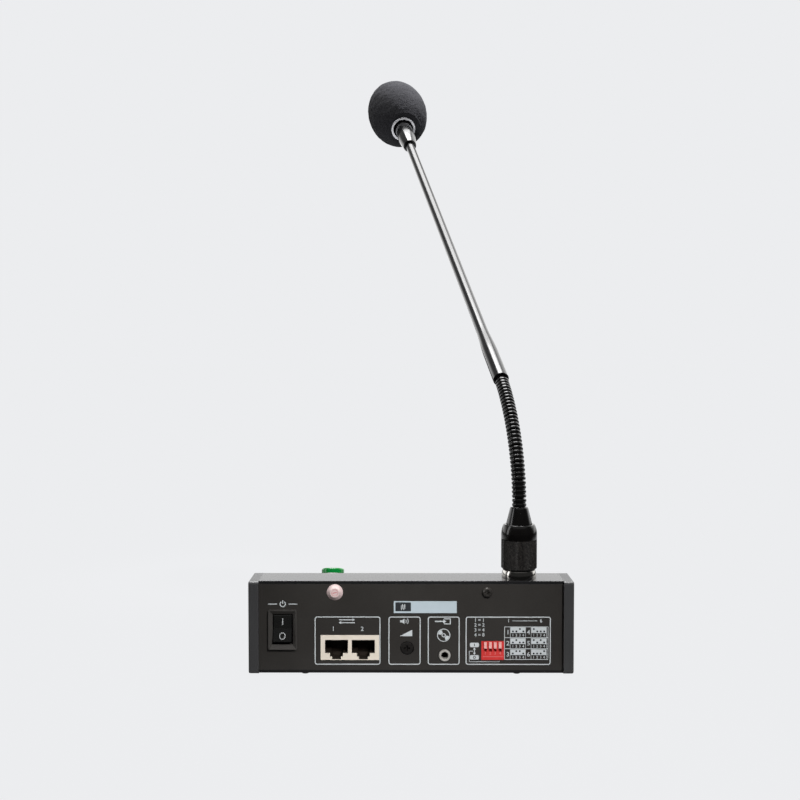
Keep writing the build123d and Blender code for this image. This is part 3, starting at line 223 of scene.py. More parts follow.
# The same ink in charcoal, printed over the pale one
dark_ink = finish("charcoal_screen_ink", "#2c2e31", "#34363a", 3, 0.4, 0.004, 0.55, IOR=1.5)
# Red flexographic ink on the seal
seal_ink = finish("seal_red_ink", "#c9898b", "#c27f82", 1.5, 0.4, 0.003, 0.6, IOR=1.5)
# Pink ink on the red address switch
dip_print = finish("address_switch_ink", "#d8817e", "#cf7673", 2, 0.4, 0.003, 0.5, IOR=1.5)
# Pale paint rubbed into the engraved marks of the rocker
mark_ink = finish("engraving_paint", "#a9abac", "#9fa1a2", 1.5, 0.3, 0.003, 0.5, IOR=1.5)


def foam_finish():
    """Open-cell polyurethane foam: cells of 0.6 mm, drawn at 0.9 mm so that they show, in dark grey, with
    painted shade in their pits.
    """
    cell, crumb, cloud, pit_depth = 0.9, 1.6, 9.0, 0.35
    material, tree = blank_material("open_cell_foam")
    place = add(tree, "ShaderNodeTexCoord").outputs["Object"]
    cells = add(tree, "ShaderNodeTexVoronoi", {"Vector": place, "Scale": 1 / (cell * MM), "Randomness": 1.0})
    crumbs = add(tree, "ShaderNodeTexNoise", {"Vector": place, "Scale": 1 / (crumb * MM), "Detail": 6.0})
    clouds = add(tree, "ShaderNodeTexNoise", {"Vector": place, "Scale": 1 / (cloud * MM), "Detail": 3.0})
    falling = {"From Min": 0.05, "From Max": 0.6, "To Min": 1.0, "To Max": 0.0}
    walls = add(tree, "ShaderNodeMapRange", {"Value": cells.outputs["Distance"], **falling}).outputs[0]
    factors = {0: crumbs.outputs["Fac"], 1: walls}
    depth = add(tree, "ShaderNodeMath", factors, operation="MULTIPLY").outputs[0]
    # Painted shade: the pits of the cells are coloured darker than the walls between them
    painted_pit_shade_greys = {0: depth, 6: linear("#303033"), 7: linear("#111112")}
    tint = add(tree, "ShaderNodeMix", painted_pit_shade_greys, data_type="RGBA").outputs[2]
    shade = add(tree, "ShaderNodeMapRange", {"Value": clouds.outputs["Fac"], **NOISE_SPAN, "To Max": 0.35})
    clouded = {0: shade.outputs[0], 6: tint, 7: linear("#1f1f21")}
    tint = add(tree, "ShaderNodeMix", clouded, data_type="RGBA").outputs[2]
    pitted = {"Height": depth, "Distance": pit_depth * MM, "Strength": 1.0}
    pits = add(tree, "ShaderNodeBump", pitted, invert=True).outputs[0]
    dull = {"Roughness": 0.95, "IOR": 1.45, "Specular IOR Level": 0.15}
    surface = add(tree, "ShaderNodeBsdfPrincipled", {"Base Color": tint, "Normal": pits, **dull})
    add(tree, "ShaderNodeOutputMaterial", {"Surface": surface.outputs[0]})
    return material


def socket_finish():
    """Ivory polyester of the network socket: warm and dull outside, with painted shade in dark brown deep in
    the ports.
    """
    full_shade_depth, shade_start_depth = 0.9, 0.2
    material = finish("ivory_polyester_painted_port_shade", "#e6dccf", "#ddd3c4", 8, 0.5, 0.008, 0.46, IOR=1.55)
    tree = material.node_tree
    place = add(tree, "ShaderNodeTexCoord").outputs["Object"]
    depth = add(tree, "ShaderNodeSeparateXYZ", {0: place}).outputs["Y"]
    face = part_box("link_socket")[1].y
    # Painted shade: the ports' walls turn dark brown from 0.2 mm to 0.9 mm behind the socket's face
    limits = {"From Min": face - full_shade_depth * MM, "From Max": face - shade_start_depth * MM}
    unshaded_share = add(tree, "ShaderNodeMapRange", {"Value": depth, **limits}).outputs[0]
    surface = tree.nodes["Principled BSDF"]
    ivory = surface.inputs["Base Color"].links[0].from_socket
    # Dark brown of the painted shade inside the ports, mixed over the ivory
    painted_port_shade = {0: unshaded_share, 6: linear("#2a2420"), 7: ivory}
    tint = add(tree, "ShaderNodeMix", painted_port_shade, data_type="RGBA").outputs[2]
    tree.links.new(tint, surface.inputs["Base Color"])
    return material


finishes["foam_grey"] = foam_finish()
finishes["socket_ivory"] = socket_finish()
for node in nodes.values():
    for holder in node.material_slots:
        holder.material = finishes[holder.material.name.split(".")[0]]
for holder in nodes["switch_housing"].material_slots:
    holder.material = finishes["switch_frame"]


# Mesh tools


def bearing(origin, up, side=(1, 0, 0)):
    """Matrix from a piece's own millimetres to the frame's metres: its Z runs along up."""
    z = Vector(up).normalized()
    x = (Vector(side) - z * z.dot(Vector(side))).normalized()
    turn = Matrix((x, z.cross(x), z)).transposed().to_4x4()
    return Matrix.Scale(MM, 4) @ Matrix.Translation(Vector(origin)) @ turn


def raw_mesh(points, faces, material):
    mesh = bpy.data.meshes.new("raw")
    mesh.from_pydata(points, [], faces)
    mesh.materials.append(material)
    return mesh


def eased(outline, radius, steps=3):
    """A closed outline with its corners rounded by radius, or by less where its sides are short."""
    out = []
    for i, corner in enumerate(outline):
        here, before, after = (Vector(p) for p in (corner, outline[i - 1], outline[(i + 1) % len(outline)]))
        back, ahead = before - here, after - here
        straight = back.length < 1e-6 or ahead.length < 1e-6 or back.angle(ahead) > radians(158)
        if here.x < 1e-6 or straight:
            out.append(tuple(here))
            continue
        cut = min(radius, 0.45 * back.length, 0.45 * ahead.length)
        start, end = here + back.normalized() * cut, here + ahead.normalized() * cut
        for s in range(steps + 1):
            t = s / steps
            out.append(tuple(start * (1 - t) ** 2 + here * (2 * t * (1 - t)) + end * t**2))
    return out


def circle_angles(count):
    """Angles of a full turn in equal steps."""
    return [2 * pi * i / count for i in range(count)]


def lathe(outline, material, around):
    """Mesh of a closed outline of (radius, height) pairs turned about Z."""
    points, faces, rows = [], [], []
    for radius, height in outline:
        if radius < 1e-6:
            rows.append([len(points)] * around)
            points.append((0, 0, height))
            continue
        rows.append(list(range(len(points), len(points) + around)))
        points += [(radius * cos(a), radius * sin(a), height) for a in circle_angles(around)]
    for low, high in zip(rows, rows[1:] + rows[:1]):
        for i in range(around):
            j = (i + 1) % around
            corners = tuple(dict.fromkeys((low[i], low[j], high[j], high[i])))
            if len(corners) > 2:
                faces.append(corners)
    return raw_mesh(points, faces, material)


def plate(loop, low, high, material, hole=None):
    """Flat plate from a loop of points, with a hole of as many points if one is given."""
    n = len(loop)
    points = [(x, y, low) for x, y in loop] + [(x, y, high) for x, y in loop]
    faces = [(i, (i + 1) % n, n + (i + 1) % n, n + i) for i in range(n)]
    if hole is None:
        faces += [tuple(range(n - 1, -1, -1)), tuple(range(n, 2 * n))]
        return raw_mesh(points, faces, material)
    points += [(x, y, low) for x, y in hole] + [(x, y, high) for x, y in hole]
    for i in range(n):
        j = (i + 1) % n
        faces.append((2 * n + j, 2 * n + i, 3 * n + i, 3 * n + j))
        faces.append((n + i, n + j, 3 * n + j, 3 * n + i))
        faces.append((j, i, 2 * n + i, 2 * n + j))
    return raw_mesh(points, faces, material)


def joined(name, meshes, where, body, stands_for=(), crease=32):
    """One piece from several meshes, placed in the frame, riding on its body."""
    work, used = bmesh.new(), []
    for mesh in meshes:
        first = len(work.faces)
        work.from_mesh(mesh)
        work.faces.ensure_lookup_table()
        for face in work.faces[first:]:
            material = mesh.materials[face.material_index]
            if material not in used:
                used.append(material)
            face.material_index = used.index(material)
        bpy.data.meshes.remove(mesh)
    bmesh.ops.remove_doubles(work, verts=work.verts, dist=1e-4)
    bmesh.ops.recalc_face_normals(work, faces=work.faces)
    work.transform(where)
    mesh = bpy.data.meshes.new(name)
    work.to_mesh(mesh)
    work.free()
    for material in used:
        mesh.materials.append(material)
    mesh.shade_smooth()
    mesh.set_sharp_from_angle(angle=radians(crease))
    piece = bpy.data.objects.new(name, mesh)
    scene.collection.objects.link(piece)
    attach(piece, body)
    if stands_for:
        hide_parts(*stands_for)
    return piece


def turned(name, outline, slot, where, body, node, around=96, more=()):
    """A lathed piece in its slot's finish that stands for one node, joined with any more meshes."""
    return joined(name, [lathe(outline, finishes[slot], around), *more], where, body, [node])


def new_tree(name, sizes):
    """Geometry Nodes tree with named inputs, and the group nodes that its steps start and end at."""
    tree = bpy.data.node_groups.new(name, "GeometryNodeTree")
    tree.interface.new_socket("Geometry", in_out="INPUT", socket_type="NodeSocketGeometry")
    for label, kind in sizes.items():
        tree.interface.new_socket(label, in_out="INPUT", socket_type=f"NodeSocket{kind}")
    tree.interface.new_socket("Geometry", in_out="OUTPUT", socket_type="NodeSocketGeometry")
    return tree, add(tree, "NodeGroupInput").outputs


def close_tree(tree, geometry, material):
    """Ends a tree in plain mesh with its material on it."""
    real = add(tree, "GeometryNodeRealizeInstances", {"Geometry": geometry})
    coated = add(tree, "GeometryNodeSetMaterial", {"Geometry": real.outputs[0], "Material": material})
    add(tree, "NodeGroupOutput", {"Geometry": coated.outputs[0]})


def grown(tree, values, points=(), facings=()):
    """Plain mesh of what a tree makes from its sizes, and from points that each face a direction."""
    seeds = bpy.data.meshes.new("seeds")
    seeds.from_pydata(points, [], [])
    if facings:
        attribute = seeds.attributes.new("facing", "FLOAT_VECTOR", "POINT")
        attribute.data.foreach_set("vector", [c for facing in facings for c in facing])
    carrier = bpy.data.objects.new("carrier", seeds)
    scene.collection.objects.link(carrier)
    modifier = carrier.modifiers.new("growth", "NODES")
    modifier.node_group = tree
    for item in tree.interface.items_tree:
        if item.in_out == "INPUT" and item.name in values:
            modifier[item.identifier] = values[item.name]
    evaluated = carrier.evaluated_get(bpy.context.evaluated_depsgraph_get())
    mesh = bpy.data.meshes.new_from_object(evaluated)
    carrier.modifiers.clear()
    bpy.data.objects.remove(carrier)
    return mesh


# Things that repeat


def rib_tree():
    """Turns of the gooseneck's spring: rounded ribs stacked at a pitch, each tilted a step more."""
    tree, size = new_tree(
        "spring_ribs",
        {
            "Ribs": "Int",
            "Pitch": "Float",
            "Crest Radius": "Float",
            "Rib Height": "Float",
            "Rib Width": "Float",
            "First Tilt": "Float",
            "Tilt Step": "Float",
            "Finish": "Material",
        },
    )
    half = {}
    for label in ("Pitch", "Rib Height", "Rib Width"):
        half[label] = add(tree, "ShaderNodeMath", {0: size[label], 1: 0.5}, operation="MULTIPLY").outputs[0]
    reaches = {0: size["Crest Radius"], 1: half["Rib Height"]}
    centre = add(tree, "ShaderNodeMath", reaches, operation="SUBTRACT").outputs[0]
    ring = add(tree, "GeometryNodeCurvePrimitiveCircle", {"Resolution": 56, "Radius": centre})
    section = add(tree, "GeometryNodeCurvePrimitiveCircle", {"Resolution": 14, "Radius": 1.0})
    shape = add(tree, "ShaderNodeCombineXYZ", {"X": half["Rib Height"], "Y": half["Rib Width"], "Z": 1.0})
    flat = add(tree, "GeometryNodeTransform", {"Geometry": section.outputs[0], "Scale": shape.outputs[0]})
    rib = add(tree, "GeometryNodeCurveToMesh", {"Curve": ring.outputs[0], "Profile Curve": flat.outputs[0]})
    start = add(tree, "ShaderNodeCombineXYZ", {"Z": half["Pitch"]}).outputs[0]
    step = add(tree, "ShaderNodeCombineXYZ", {"Z": size["Pitch"]}).outputs[0]
    row = {"Count": size["Ribs"], "Start Location": start, "Offset": step}
    line = add(tree, "GeometryNodeMeshLine", row, mode="OFFSET")
    order = add(tree, "GeometryNodeInputIndex").outputs[0]
    tilts = {0: order, 1: size["Tilt Step"], 2: size["First Tilt"]}
    tilt = add(tree, "ShaderNodeMath", tilts, operation="MULTIPLY_ADD")
    lean = add(tree, "ShaderNodeCombineXYZ", {"X": tilt.outputs[0]})
    turn = add(tree, "FunctionNodeEulerToRotation", {0: lean.outputs[0]})
    stack = add(
        tree,
        "GeometryNodeInstanceOnPoints",
        {"Points": line.outputs[0], "Instance": rib.outputs[0], "Rotation": turn.outputs[0]},
    )
    close_tree(tree, stack.outputs[0], size["Finish"])
    return tree


def knurl_tree():
    """Diamond knurl round a nut: crests and hollows take turns on a grid that is wrapped to a band."""
    tree, size = new_tree(
        "diamond_knurl",
        {
            "Columns": "Int",
            "Rows": "Int",
            "Radius": "Float",
            "Height": "Float",
            "Depth": "Float",
            "Finish": "Material",
        },
    )
    across = add(tree, "ShaderNodeMath", {0: size["Columns"], 1: 1.0}, operation="ADD").outputs[0]
    net = {"Vertices X": across, "Vertices Y": size["Rows"], "Size X": 1.0, "Size Y": 1.0}
    grid = add(tree, "GeometryNodeMeshGrid", net)
    flat = add(tree, "ShaderNodeSeparateXYZ", {0: add(tree, "GeometryNodeInputPosition").outputs[0]})
    known = {label: size[label] for label in ("Columns", "Rows", "Radius", "Height", "Depth")}
    known |= {label: flat.outputs[label] for label in "XY"}
    # Each step: its result, the operation and what goes into it
    steps = (
        ("share", "ADD", "X", 0.5),
        ("angle", "MULTIPLY", "share", 2 * pi),
        ("column", "MULTIPLY", "share", "Columns"),
        ("level", "ADD", "Y", 0.5),
        ("last row", "SUBTRACT", "Rows", 1.0),
        ("row", "MULTIPLY", "level", "last row"),
        ("order", "ADD", "column", "row"),
        ("whole", "ROUND", "order"),
        ("odd", "MODULO", "whole", 2.0),
        ("sunk", "MULTIPLY", "odd", "Depth"),
        ("reach", "SUBTRACT", "Radius", "sunk"),
        ("cosine", "COSINE", "angle"),
        ("sine", "SINE", "angle"),
        ("along x", "MULTIPLY", "reach", "cosine"),
        ("along y", "MULTIPLY", "reach", "sine"),
        ("along z", "MULTIPLY", "level", "Height"),
    )
    for result, operation, *parts in steps:
        feeds = {i: known.get(part, part) for i, part in enumerate(parts)}
        known[result] = add(tree, "ShaderNodeMath", feeds, operation=operation).outputs[0]
    ways = {axis: known[f"along {axis.lower()}"] for axis in "XYZ"}
    wrapped = add(tree, "ShaderNodeCombineXYZ", ways)
    band = add(tree, "GeometryNodeSetPosition", {"Geometry": grid.outputs[0], "Position": wrapped.outputs[0]})
    sealed = add(tree, "GeometryNodeMergeByDistance", {"Geometry": band.outputs[0], "Distance": 0.001})
    cut = add(tree, "GeometryNodeTriangulate", {"Mesh": sealed.outputs[0]}, quad_method="SHORTEST_DIAGONAL")
    close_tree(tree, cut.outputs[0], size["Finish"])
    return tree


def copies_tree():
    """Copies of one piece, such as a screw, on points that each face a direction."""
    tree, size = new_tree("placed_copies", {"Piece": "Object", "Finish": "Material"})
    piece = add(tree, "GeometryNodeObjectInfo", {"Object": size["Piece"]})
    facing = add(tree, "GeometryNodeInputNamedAttribute", {"Name": "facing"}, data_type="FLOAT_VECTOR")
    turn = add(tree, "FunctionNodeAlignRotationToVector", {"Vector": facing.outputs[0]}, axis="Z")
    copies = add(
        tree,
        "GeometryNodeInstanceOnPoints",
        {"Points": size["Geometry"], "Instance": piece.outputs["Geometry"], "Rotation": turn.outputs[0]},
    )
    close_tree(tree, copies.outputs[0], size["Finish"])
    return tree


spring_ribs, diamond_knurl, placed_copies = rib_tree(), knurl_tree(), copies_tree()


# Microphone, along its upright axis

mic_foot = Vector(joints["nut_turn"]["pos_m"]) / MM
upright = bearing(mic_foot, (0, 0, 1))
socket_bore, barrel, thread, flange, flange_top = 5.9, 6.6, 7.2, 9.0, 8.5
flange_side, flange_high, socket_rim, socket_drop = 2.2, 4.2, 9.7, 12.0
thread_pitch, thread_start, thread_ramp, thread_land = 0.75, 4.5, 0.3, 0.15
thread_depth, rim_fall, rim_in = 0.22, 0.25, 0.45
thread_root = thread - thread_depth

# Chassis socket: flange with a slightly conical shoulder and a cut thread above it
outline = [(socket_bore, -socket_drop), (barrel, -socket_drop), (barrel, 0), (flange, 0)]
outline += [(flange, flange_side), (flange_top, flange_high), (thread_root, flange_high)]
for i in range(int((socket_rim - thread_start - thread_ramp) / thread_pitch)):
    foot = thread_start + i * thread_pitch
    land = foot + thread_ramp
    outline += [(thread_root, foot), (thread, land), (thread, land + thread_land)]
outline += [(thread_root, socket_rim - rim_fall), (thread - rim_in, socket_rim)]
outline.append((socket_bore, socket_rim))
turned("threaded_socket", eased(outline, 0.08, 2), "nickel_plate", upright, "console", "mic_socket")

# Coupling nut: smooth shoulders, and a knurled band in two rows of diamonds to the millimetre
nut, nut_low, knurl_top, nut_shoulder, nut_high = 9.35, 4.4, 20.2, 21.6, 28.0
foot_ease, knurl_step, shoulder_top, shoulder_bulge = 0.9, 0.25, 8.0, 0.45
nut_bore, nut_chamber, lid_hole, lid_thick = 7.28, 7.5, 6.87, 2.0
knurl_depth, knurl_pitch = 0.28, 1.05
knurl_low = nut_low + foot_ease
outline = [
    (nut_bore, nut_low),
    (nut - foot_ease, nut_low),
    (nut - knurl_depth, knurl_low),
    (nut - knurl_depth, knurl_top),
    (nut, knurl_top + knurl_step),
    (nut, nut_shoulder),
]
for t in (0.2, 0.4, 0.6, 0.8):
    radius = nut + (shoulder_top - nut) * t + 4 * shoulder_bulge * t * (1 - t)
    outline.append((radius, nut_shoulder + (nut_high - nut_shoulder) * t))
outline += [(shoulder_top, nut_high), (lid_hole, nut_high), (lid_hole, nut_high - lid_thick)]
outline += [(nut_chamber, nut_high - lid_thick), (nut_chamber, socket_rim), (nut_bore, socket_rim)]
band = grown(
    diamond_knurl,
    {
        "Columns": 2 * round(2 * pi * nut / knurl_pitch),
        "Rows": 2 * round((knurl_top - knurl_low) / knurl_pitch) + 1,
        "Radius": nut,
        "Height": knurl_top - knurl_low,
        "Depth": knurl_depth,
        "Finish": finishes["nut_knurl"],
    },
)
band.transform(Matrix.Translation((0, 0, knurl_low)))
turned("knurled_nut", eased(outline, 0.3), "nut_black", upright, "nut", "coupling_nut", 120, [band])

# Tail above the nut: a drum held under the nut's lid, then the cone that the gooseneck rises from
drum, drum_low, drum_top, collar, tail_top = 7.38, 12.52, 25.88, 6.75, 37.0
plug_hole, plug_end, neck_seat, seat_floor, lead = 3.05, 17.52, 2.95, 29.0, 1.0
collar_ease, cone_foot, cone_rim = 0.2, 0.9, ((4.75, 0.8), (4.5, 0.25), (4.25, 0.0))
outline = [(plug_hole, drum_low), (drum, drum_low), (drum, drum_top), (collar, drum_top), (collar, nut_high)]
outline.append((collar - collar_ease, nut_high + cone_foot))
outline += [(radius, tail_top - fall) for radius, fall in cone_rim]
outline += [(neck_seat, tail_top), (neck_seat, seat_floor), (lead, seat_floor), (lead, plug_end)]
outline.append((plug_hole, plug_end))
turned("tail_sleeve", eased(outline, 0.25), "nut_black", upright, "tail", "tail_cone")

# Gooseneck: each stretch is a sleeve with its ball joint and the turns of spring round it
pitch, crest, sleeve, gap, ball, cup, cup_deep = 2.26, 3.78, 3.3, 0.75, 2.45, 2.5, 3.2
root_ribs, link_ribs, rib_height, rib_width = 2, 4, 1.0, 1.84
stem, stem_long, neck_around = 2.9, 8.0, 56
# The ball shows from this many degrees under its middle to as many over it, in steps
ball_under, ball_over, ball_step, ball_collar = 66, 6, 8, 0.97


def spring(ribs, first_tilt, last_tilt):
    """Turns of spring on one stretch, fanned so that every groove opens alike in the stored bend."""
    return grown(
        spring_ribs,
        {
            "Ribs": ribs,
            "Pitch": pitch,
            "Crest Radius": crest,
            "Rib Height": rib_height,
            "Rib Width": rib_width,
            "First Tilt": first_tilt,
            "Tilt Step": (last_tilt - first_tilt) / (ribs - 1),
            "Finish": finishes["neck_black"],
        },
    )


def cup_end(high):
    """End of a sleeve of one height: its rim and the cup that holds the next ball."""
    edge, floor = high - gap / 2, high - cup_deep
    return [(sleeve, edge), (cup, edge), (cup, floor), (lead, floor)]


hinges = [Vector(joints[f"neck_bend_{i}"]["pos_m"]) / MM for i in range(1, 10)]
wand_dir = Vector(joints["windscreen_pull"]["axis"]).normalized()
ways = [Vector((0, 0, 1))] + [head - foot for foot, head in zip(hinges, hinges[1:])] + [wand_dir]
bends = [before.angle(after) for before, after in zip(ways, ways[1:])]
groove_share = 1 / link_ribs
fan = (1 - groove_share) / 2
ball_angles = [radians(a) for a in range(-ball_under, ball_over + 1, ball_step)]
ball_outline = [(ball * cos(a), ball * sin(a)) for a in ball_angles]
ball_end = [(lead, ball_outline[0][1]), *ball_outline, (ball * ball_collar, gap / 2)]

root_high = root_ribs * pitch
turned(
    "gooseneck_root",
    [(lead, -stem_long), (stem, -stem_long), (stem, 0.0), (sleeve, 0.0), *cup_end(root_high)],
    "neck_black",
    bearing(hinges[0] - Vector((0, 0, root_high)), (0, 0, 1)),
    "tail",
    "neck_root",
    neck_around,
    [spring(root_ribs, bends[0] * (fan - groove_share), bends[0] * fan)],
)
for number, (foot, head) in enumerate(zip(hinges, hinges[1:]), start=1):
    turned(
        f"gooseneck_link_{number}",
        [*ball_end, (sleeve, gap / 2), *cup_end(link_ribs * pitch)],
        "neck_black",
        bearing(foot, head - foot),
        f"neck_link_{number}",
        f"neck_link_{number}",
        neck_around,
        [spring(link_ribs, -bends[number - 1] * fan, bends[number] * fan)],
    )

# Wand, along its own line

wand = bearing(hinges[-1], wand_dir)
rim, tip, tip_waist, tip_long = 1.9, 3.5, 3.05, 8.0
outline = [*ball_end, (tip_waist, gap / 2), (tip_waist, rim), (tip, rim), (tip, rim + tip_long)]
outline.append((lead, rim + tip_long))
turned("gooseneck_end", outline, "neck_black", wand, "wand", "neck_tip", neck_around)


def eased_cone(start, end, low, high, steps=8):
    """Points from one radius to another whose slope comes and goes gently, as a swaged tube's does."""
    out = []
    for i in range(1, steps):
        t = i / steps
        out.append((start + (end - start) * t * t * (3 - 2 * t), low + (high - low) * t))
    return out


# Tube: its wide lower end is swaged down to the long straight run
flare, flare_end, flare_ease, cone_end, tube, tube_end = 4.4, 28.9, 0.35, 55.9, 3.42, 355.9
tip_hole, tube_bore, bore_step = tip + 0.05, 2.62, 0.8
outline = [(tip_hole, rim), (flare - flare_ease, rim), (flare, rim + flare_ease), (flare, flare_end)]
outline += [*eased_cone(flare, tube, flare_end, cone_end), (tube, cone_end), (tube, tube_end)]
outline += [(tube_bore, tube_end), (tube_bore, flare_end), (tip_hole, flare_end - bore_step)]
turned("swaged_tube", outline, "tube_black", wand, "wand", "mic_tube", 128)

# Capsule housing: it swells over the tube's end into a barrel with the capsule's seat
housing_start, housing_widest, housing_end, barrel_radius = 346.9, 385.9, 433.9, 7.0
tube_hole, start_radius, start_ease, swell = 3.47, 5.1, 0.3, 20.0
capsule_hole, seat_hole, seat_low, seat_top, barrel_bore = 4.9, 3.65, 424.2, 425.4, 6.0
swell_start = housing_start + start_ease
outline = [(tube_hole, housing_start), (start_radius - start_ease, housing_start)]
outline.append((start_radius, swell_start))
for t in (0.2, 0.4, 0.6, 0.8, 1.0):
    radius = start_radius + (barrel_radius - start_radius) * sin(pi / 2 * t)
    outline.append((radius, swell_start + swell * t))
outline += [(barrel_radius, housing_widest), (barrel_radius, housing_end), (capsule_hole, housing_end)]
outline += [(capsule_hole, seat_top), (seat_hole, seat_top), (seat_hole, seat_low), (barrel_bore, seat_low)]
outline += [(barrel_bore, housing_widest), (tube_hole, tube_end + bore_step)]
turned("capsule_cone", eased(outline, 0.15, 2), "housing_black", wand, "wand", "capsule_housing", 128)

# Mouth ring of the windscreen: a turned ring with a soft rim
mouth, ring_outer, ring_inner, ring_proud, ring_deep = 385.3, 10.05, 8.3, 0.6, 3.15
ring_low, ring_high = mouth - ring_proud, mouth + ring_deep
outline = [(ring_inner, ring_low), (ring_outer, ring_low), (ring_outer, ring_high), (ring_inner, ring_high)]
turned("mouth_ring", eased(outline, 0.2), "ring_silver", wand, "foam", "windscreen_ring", 120)

# Foam windscreen: an egg of foam, cut flat at its mouth and hollow over the housing
foam_centre, foam_radius, foam_half, foam_rows, foam_around = 421.8, 25.0, 44.0, 168, 224
hollow, hollow_end, ring_seat, seat_end, lip = 7.3, housing_end + 1.5, 10.1, mouth + 3.2, 0.3
mouth_share = (foam_centre - mouth) / foam_half
mouth_angle = atan2(-mouth_share, sqrt(1 - mouth_share**2))
outline = [(hollow, hollow_end), (hollow, seat_end), (ring_seat, seat_end), (ring_seat, mouth + lip)]
outline.append((ring_seat + lip, mouth))
first_row = len(outline)
for i in range(foam_rows + 1):
    a = mouth_angle + (pi / 2 - mouth_angle) * i / foam_rows
    radius = foam_radius * cos(a) if i < foam_rows else 0.0
    outline.append((radius, foam_centre + foam_half * sin(a)))
outline.append((0.0, hollow_end))
skin = lathe(outline, finishes["foam_grey"], foam_around)
lump, lump_high, crumb, crumb_high, sunk, fade_high = 6.0, 0.22, 1.1, 0.14, 0.25, 2.0
for vertex in skin.vertices[first_row * foam_around : -1]:
    place = vertex.co.copy()
    away = Vector((place.x, place.y, (place.z - foam_centre) * (foam_radius / foam_half) ** 2)).normalized()
    lumps = noise.fractal(place / lump, 1.0, 2.0, 3) * lump_high
    crumbs = noise.fractal(place / crumb, 0.9, 2.0, 2) * crumb_high
    fade = min(1.0, max(0.0, (place.z - mouth) / fade_high))
    vertex.co = place + away * (lumps + crumbs - sunk) * fade
windscreen = joined("foam_windscreen", [skin], wand, "foam", ["windscreen"], crease=80)

# Console: pieces on the rear panel and the deck

panel_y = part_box("rear_panel")[1].y / MM


def rear_face(x, y, z):
    """Bearing of a face that looks to the rear: its X runs to the frame's -X, and its Y up."""
    return bearing((x, y, z), (0, 1, 0), (-1, 0, 0))


# Line-in jack: a turned ring with a rolled lip
jack_x, jack_z, jack_bore, jack_side = -17.3, 11.54, 1.83, 3.05
lip_high, lip_outer, lip_inner, outer_foot, inner_foot = 0.9, 2.75, 2.15, 0.35, 0.55
jack_near, jack_far = (corner.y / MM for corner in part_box("jack_ring"))
ring_foot = lip_high - (jack_far - jack_near)
outline = [(jack_bore, ring_foot), (jack_side, ring_foot), (jack_side, outer_foot), (lip_outer, lip_high)]
outline += [(lip_inner, lip_high), (jack_bore, inner_foot)]
joined(
    "jack_lip",
    [lathe(eased(outline, 0.2), finishes["jack_nickel"], 64)],
    rear_face(jack_x, panel_y, jack_z),
    "console",
    ["jack_ring"],
)

# The deck slopes down from the strip's edge towards the user
press = -Vector(joints["talk_press"]["axis"]).normalized()
down_slope = Vector((0, -press.z, press.y))
strip_deep, cover_sheet = 20.3, 1.5
strip_edge = Vector((0, panel_y - strip_deep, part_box("top_cover")[1].z / MM))


def on_deck(x, down, up=0.0):
    """Place down the deck's slope from the strip, and up from its face."""
    return strip_edge + Vector((x, 0, 0)) + down_slope * down + press * up


# Talk button, square to the sloping deck: a domed cap, the flange that holds it in and its plunger
talk_x, talk_down = 42.7, 18.6
cap, cap_top, cap_flange, plunger = 6.15, 4.0, 7.6, 1.5
flange_low, plunger_low = -cover_sheet - 0.8, -cover_sheet - 3.0
crown = ((0.0, 0.0), (2.6, 0.06), (4.6, 0.22), (5.7, 0.4), (cap, 1.1))
outline = [(radius, cap_top - fall) for radius, fall in crown]
outline += [(cap, -cover_sheet), (cap_flange, -cover_sheet), (cap_flange, flange_low), (plunger, flange_low)]
outline += [(plunger, plunger_low), (0.0, plunger_low)]
talk_place = bearing(on_deck(talk_x, talk_down), press)
turned("talk_cap", eased(outline, 0.5, 4), "button_green", talk_place, "talk_button", "talk_button")


# Screws


def cross_radius(angle, arm, half):
    """Reach of a plus-shaped recess in one direction."""
    c, t = max(1e-6, abs(cos(angle))), max(1e-6, abs(sin(angle)))
    return max(min(arm / c, half / t), min(half / c, arm / t))


def cross_screw(rings, arm, half, deep, material, around=96):
    """A screw turned from (radius, height) rings, whose top ring closes on a tapered cross recess."""
    lip_share, lip_fall, floor_share = 0.9, 0.12, 0.55
    angles = circle_angles(around)
    top = rings[-1][1]
    rows = [[(radius * cos(a), radius * sin(a), height) for a in angles] for radius, height in rings]
    for share, height in ((1.0, top), (lip_share, top - lip_fall), (floor_share, top - deep)):
        reach = [cross_radius(a, arm, half) * share for a in angles]
        rows.append([(r * cos(a), r * sin(a), height) for r, a in zip(reach, angles)])
    points = [p for row in rows for p in row] + [(0, 0, rings[0][1]), (0, 0, top - deep)]
    faces = []
    for k in range(len(rows) - 1):
        low, high = k * around, (k + 1) * around
        faces += [(low + i, low + (i + 1) % around, high + (i + 1) % around, high + i) for i in range(around)]
    first, last, foot, well = 0, (len(rows) - 1) * around, len(points) - 2, len(points) - 1
    faces += [(first + (i + 1) % around, first + i, foot) for i in range(around)]
    faces += [(last + i, last + (i + 1) % around, well) for i in range(around)]
    return raw_mesh(points, faces, material)


def placed(name, mesh, spots, facings, body, stands_for):
    """Copies of a mesh on spots of the frame in millimetres, as one piece that replaces a node."""
    master = bpy.data.objects.new(name + "_master", mesh)
    copies = grown(placed_copies, {"Piece": master, "Finish": mesh.materials[0]}, spots, facings)
    bpy.data.objects.remove(master)
    return joined(name, [copies], Matrix.Scale(MM, 4), body, [stands_for])


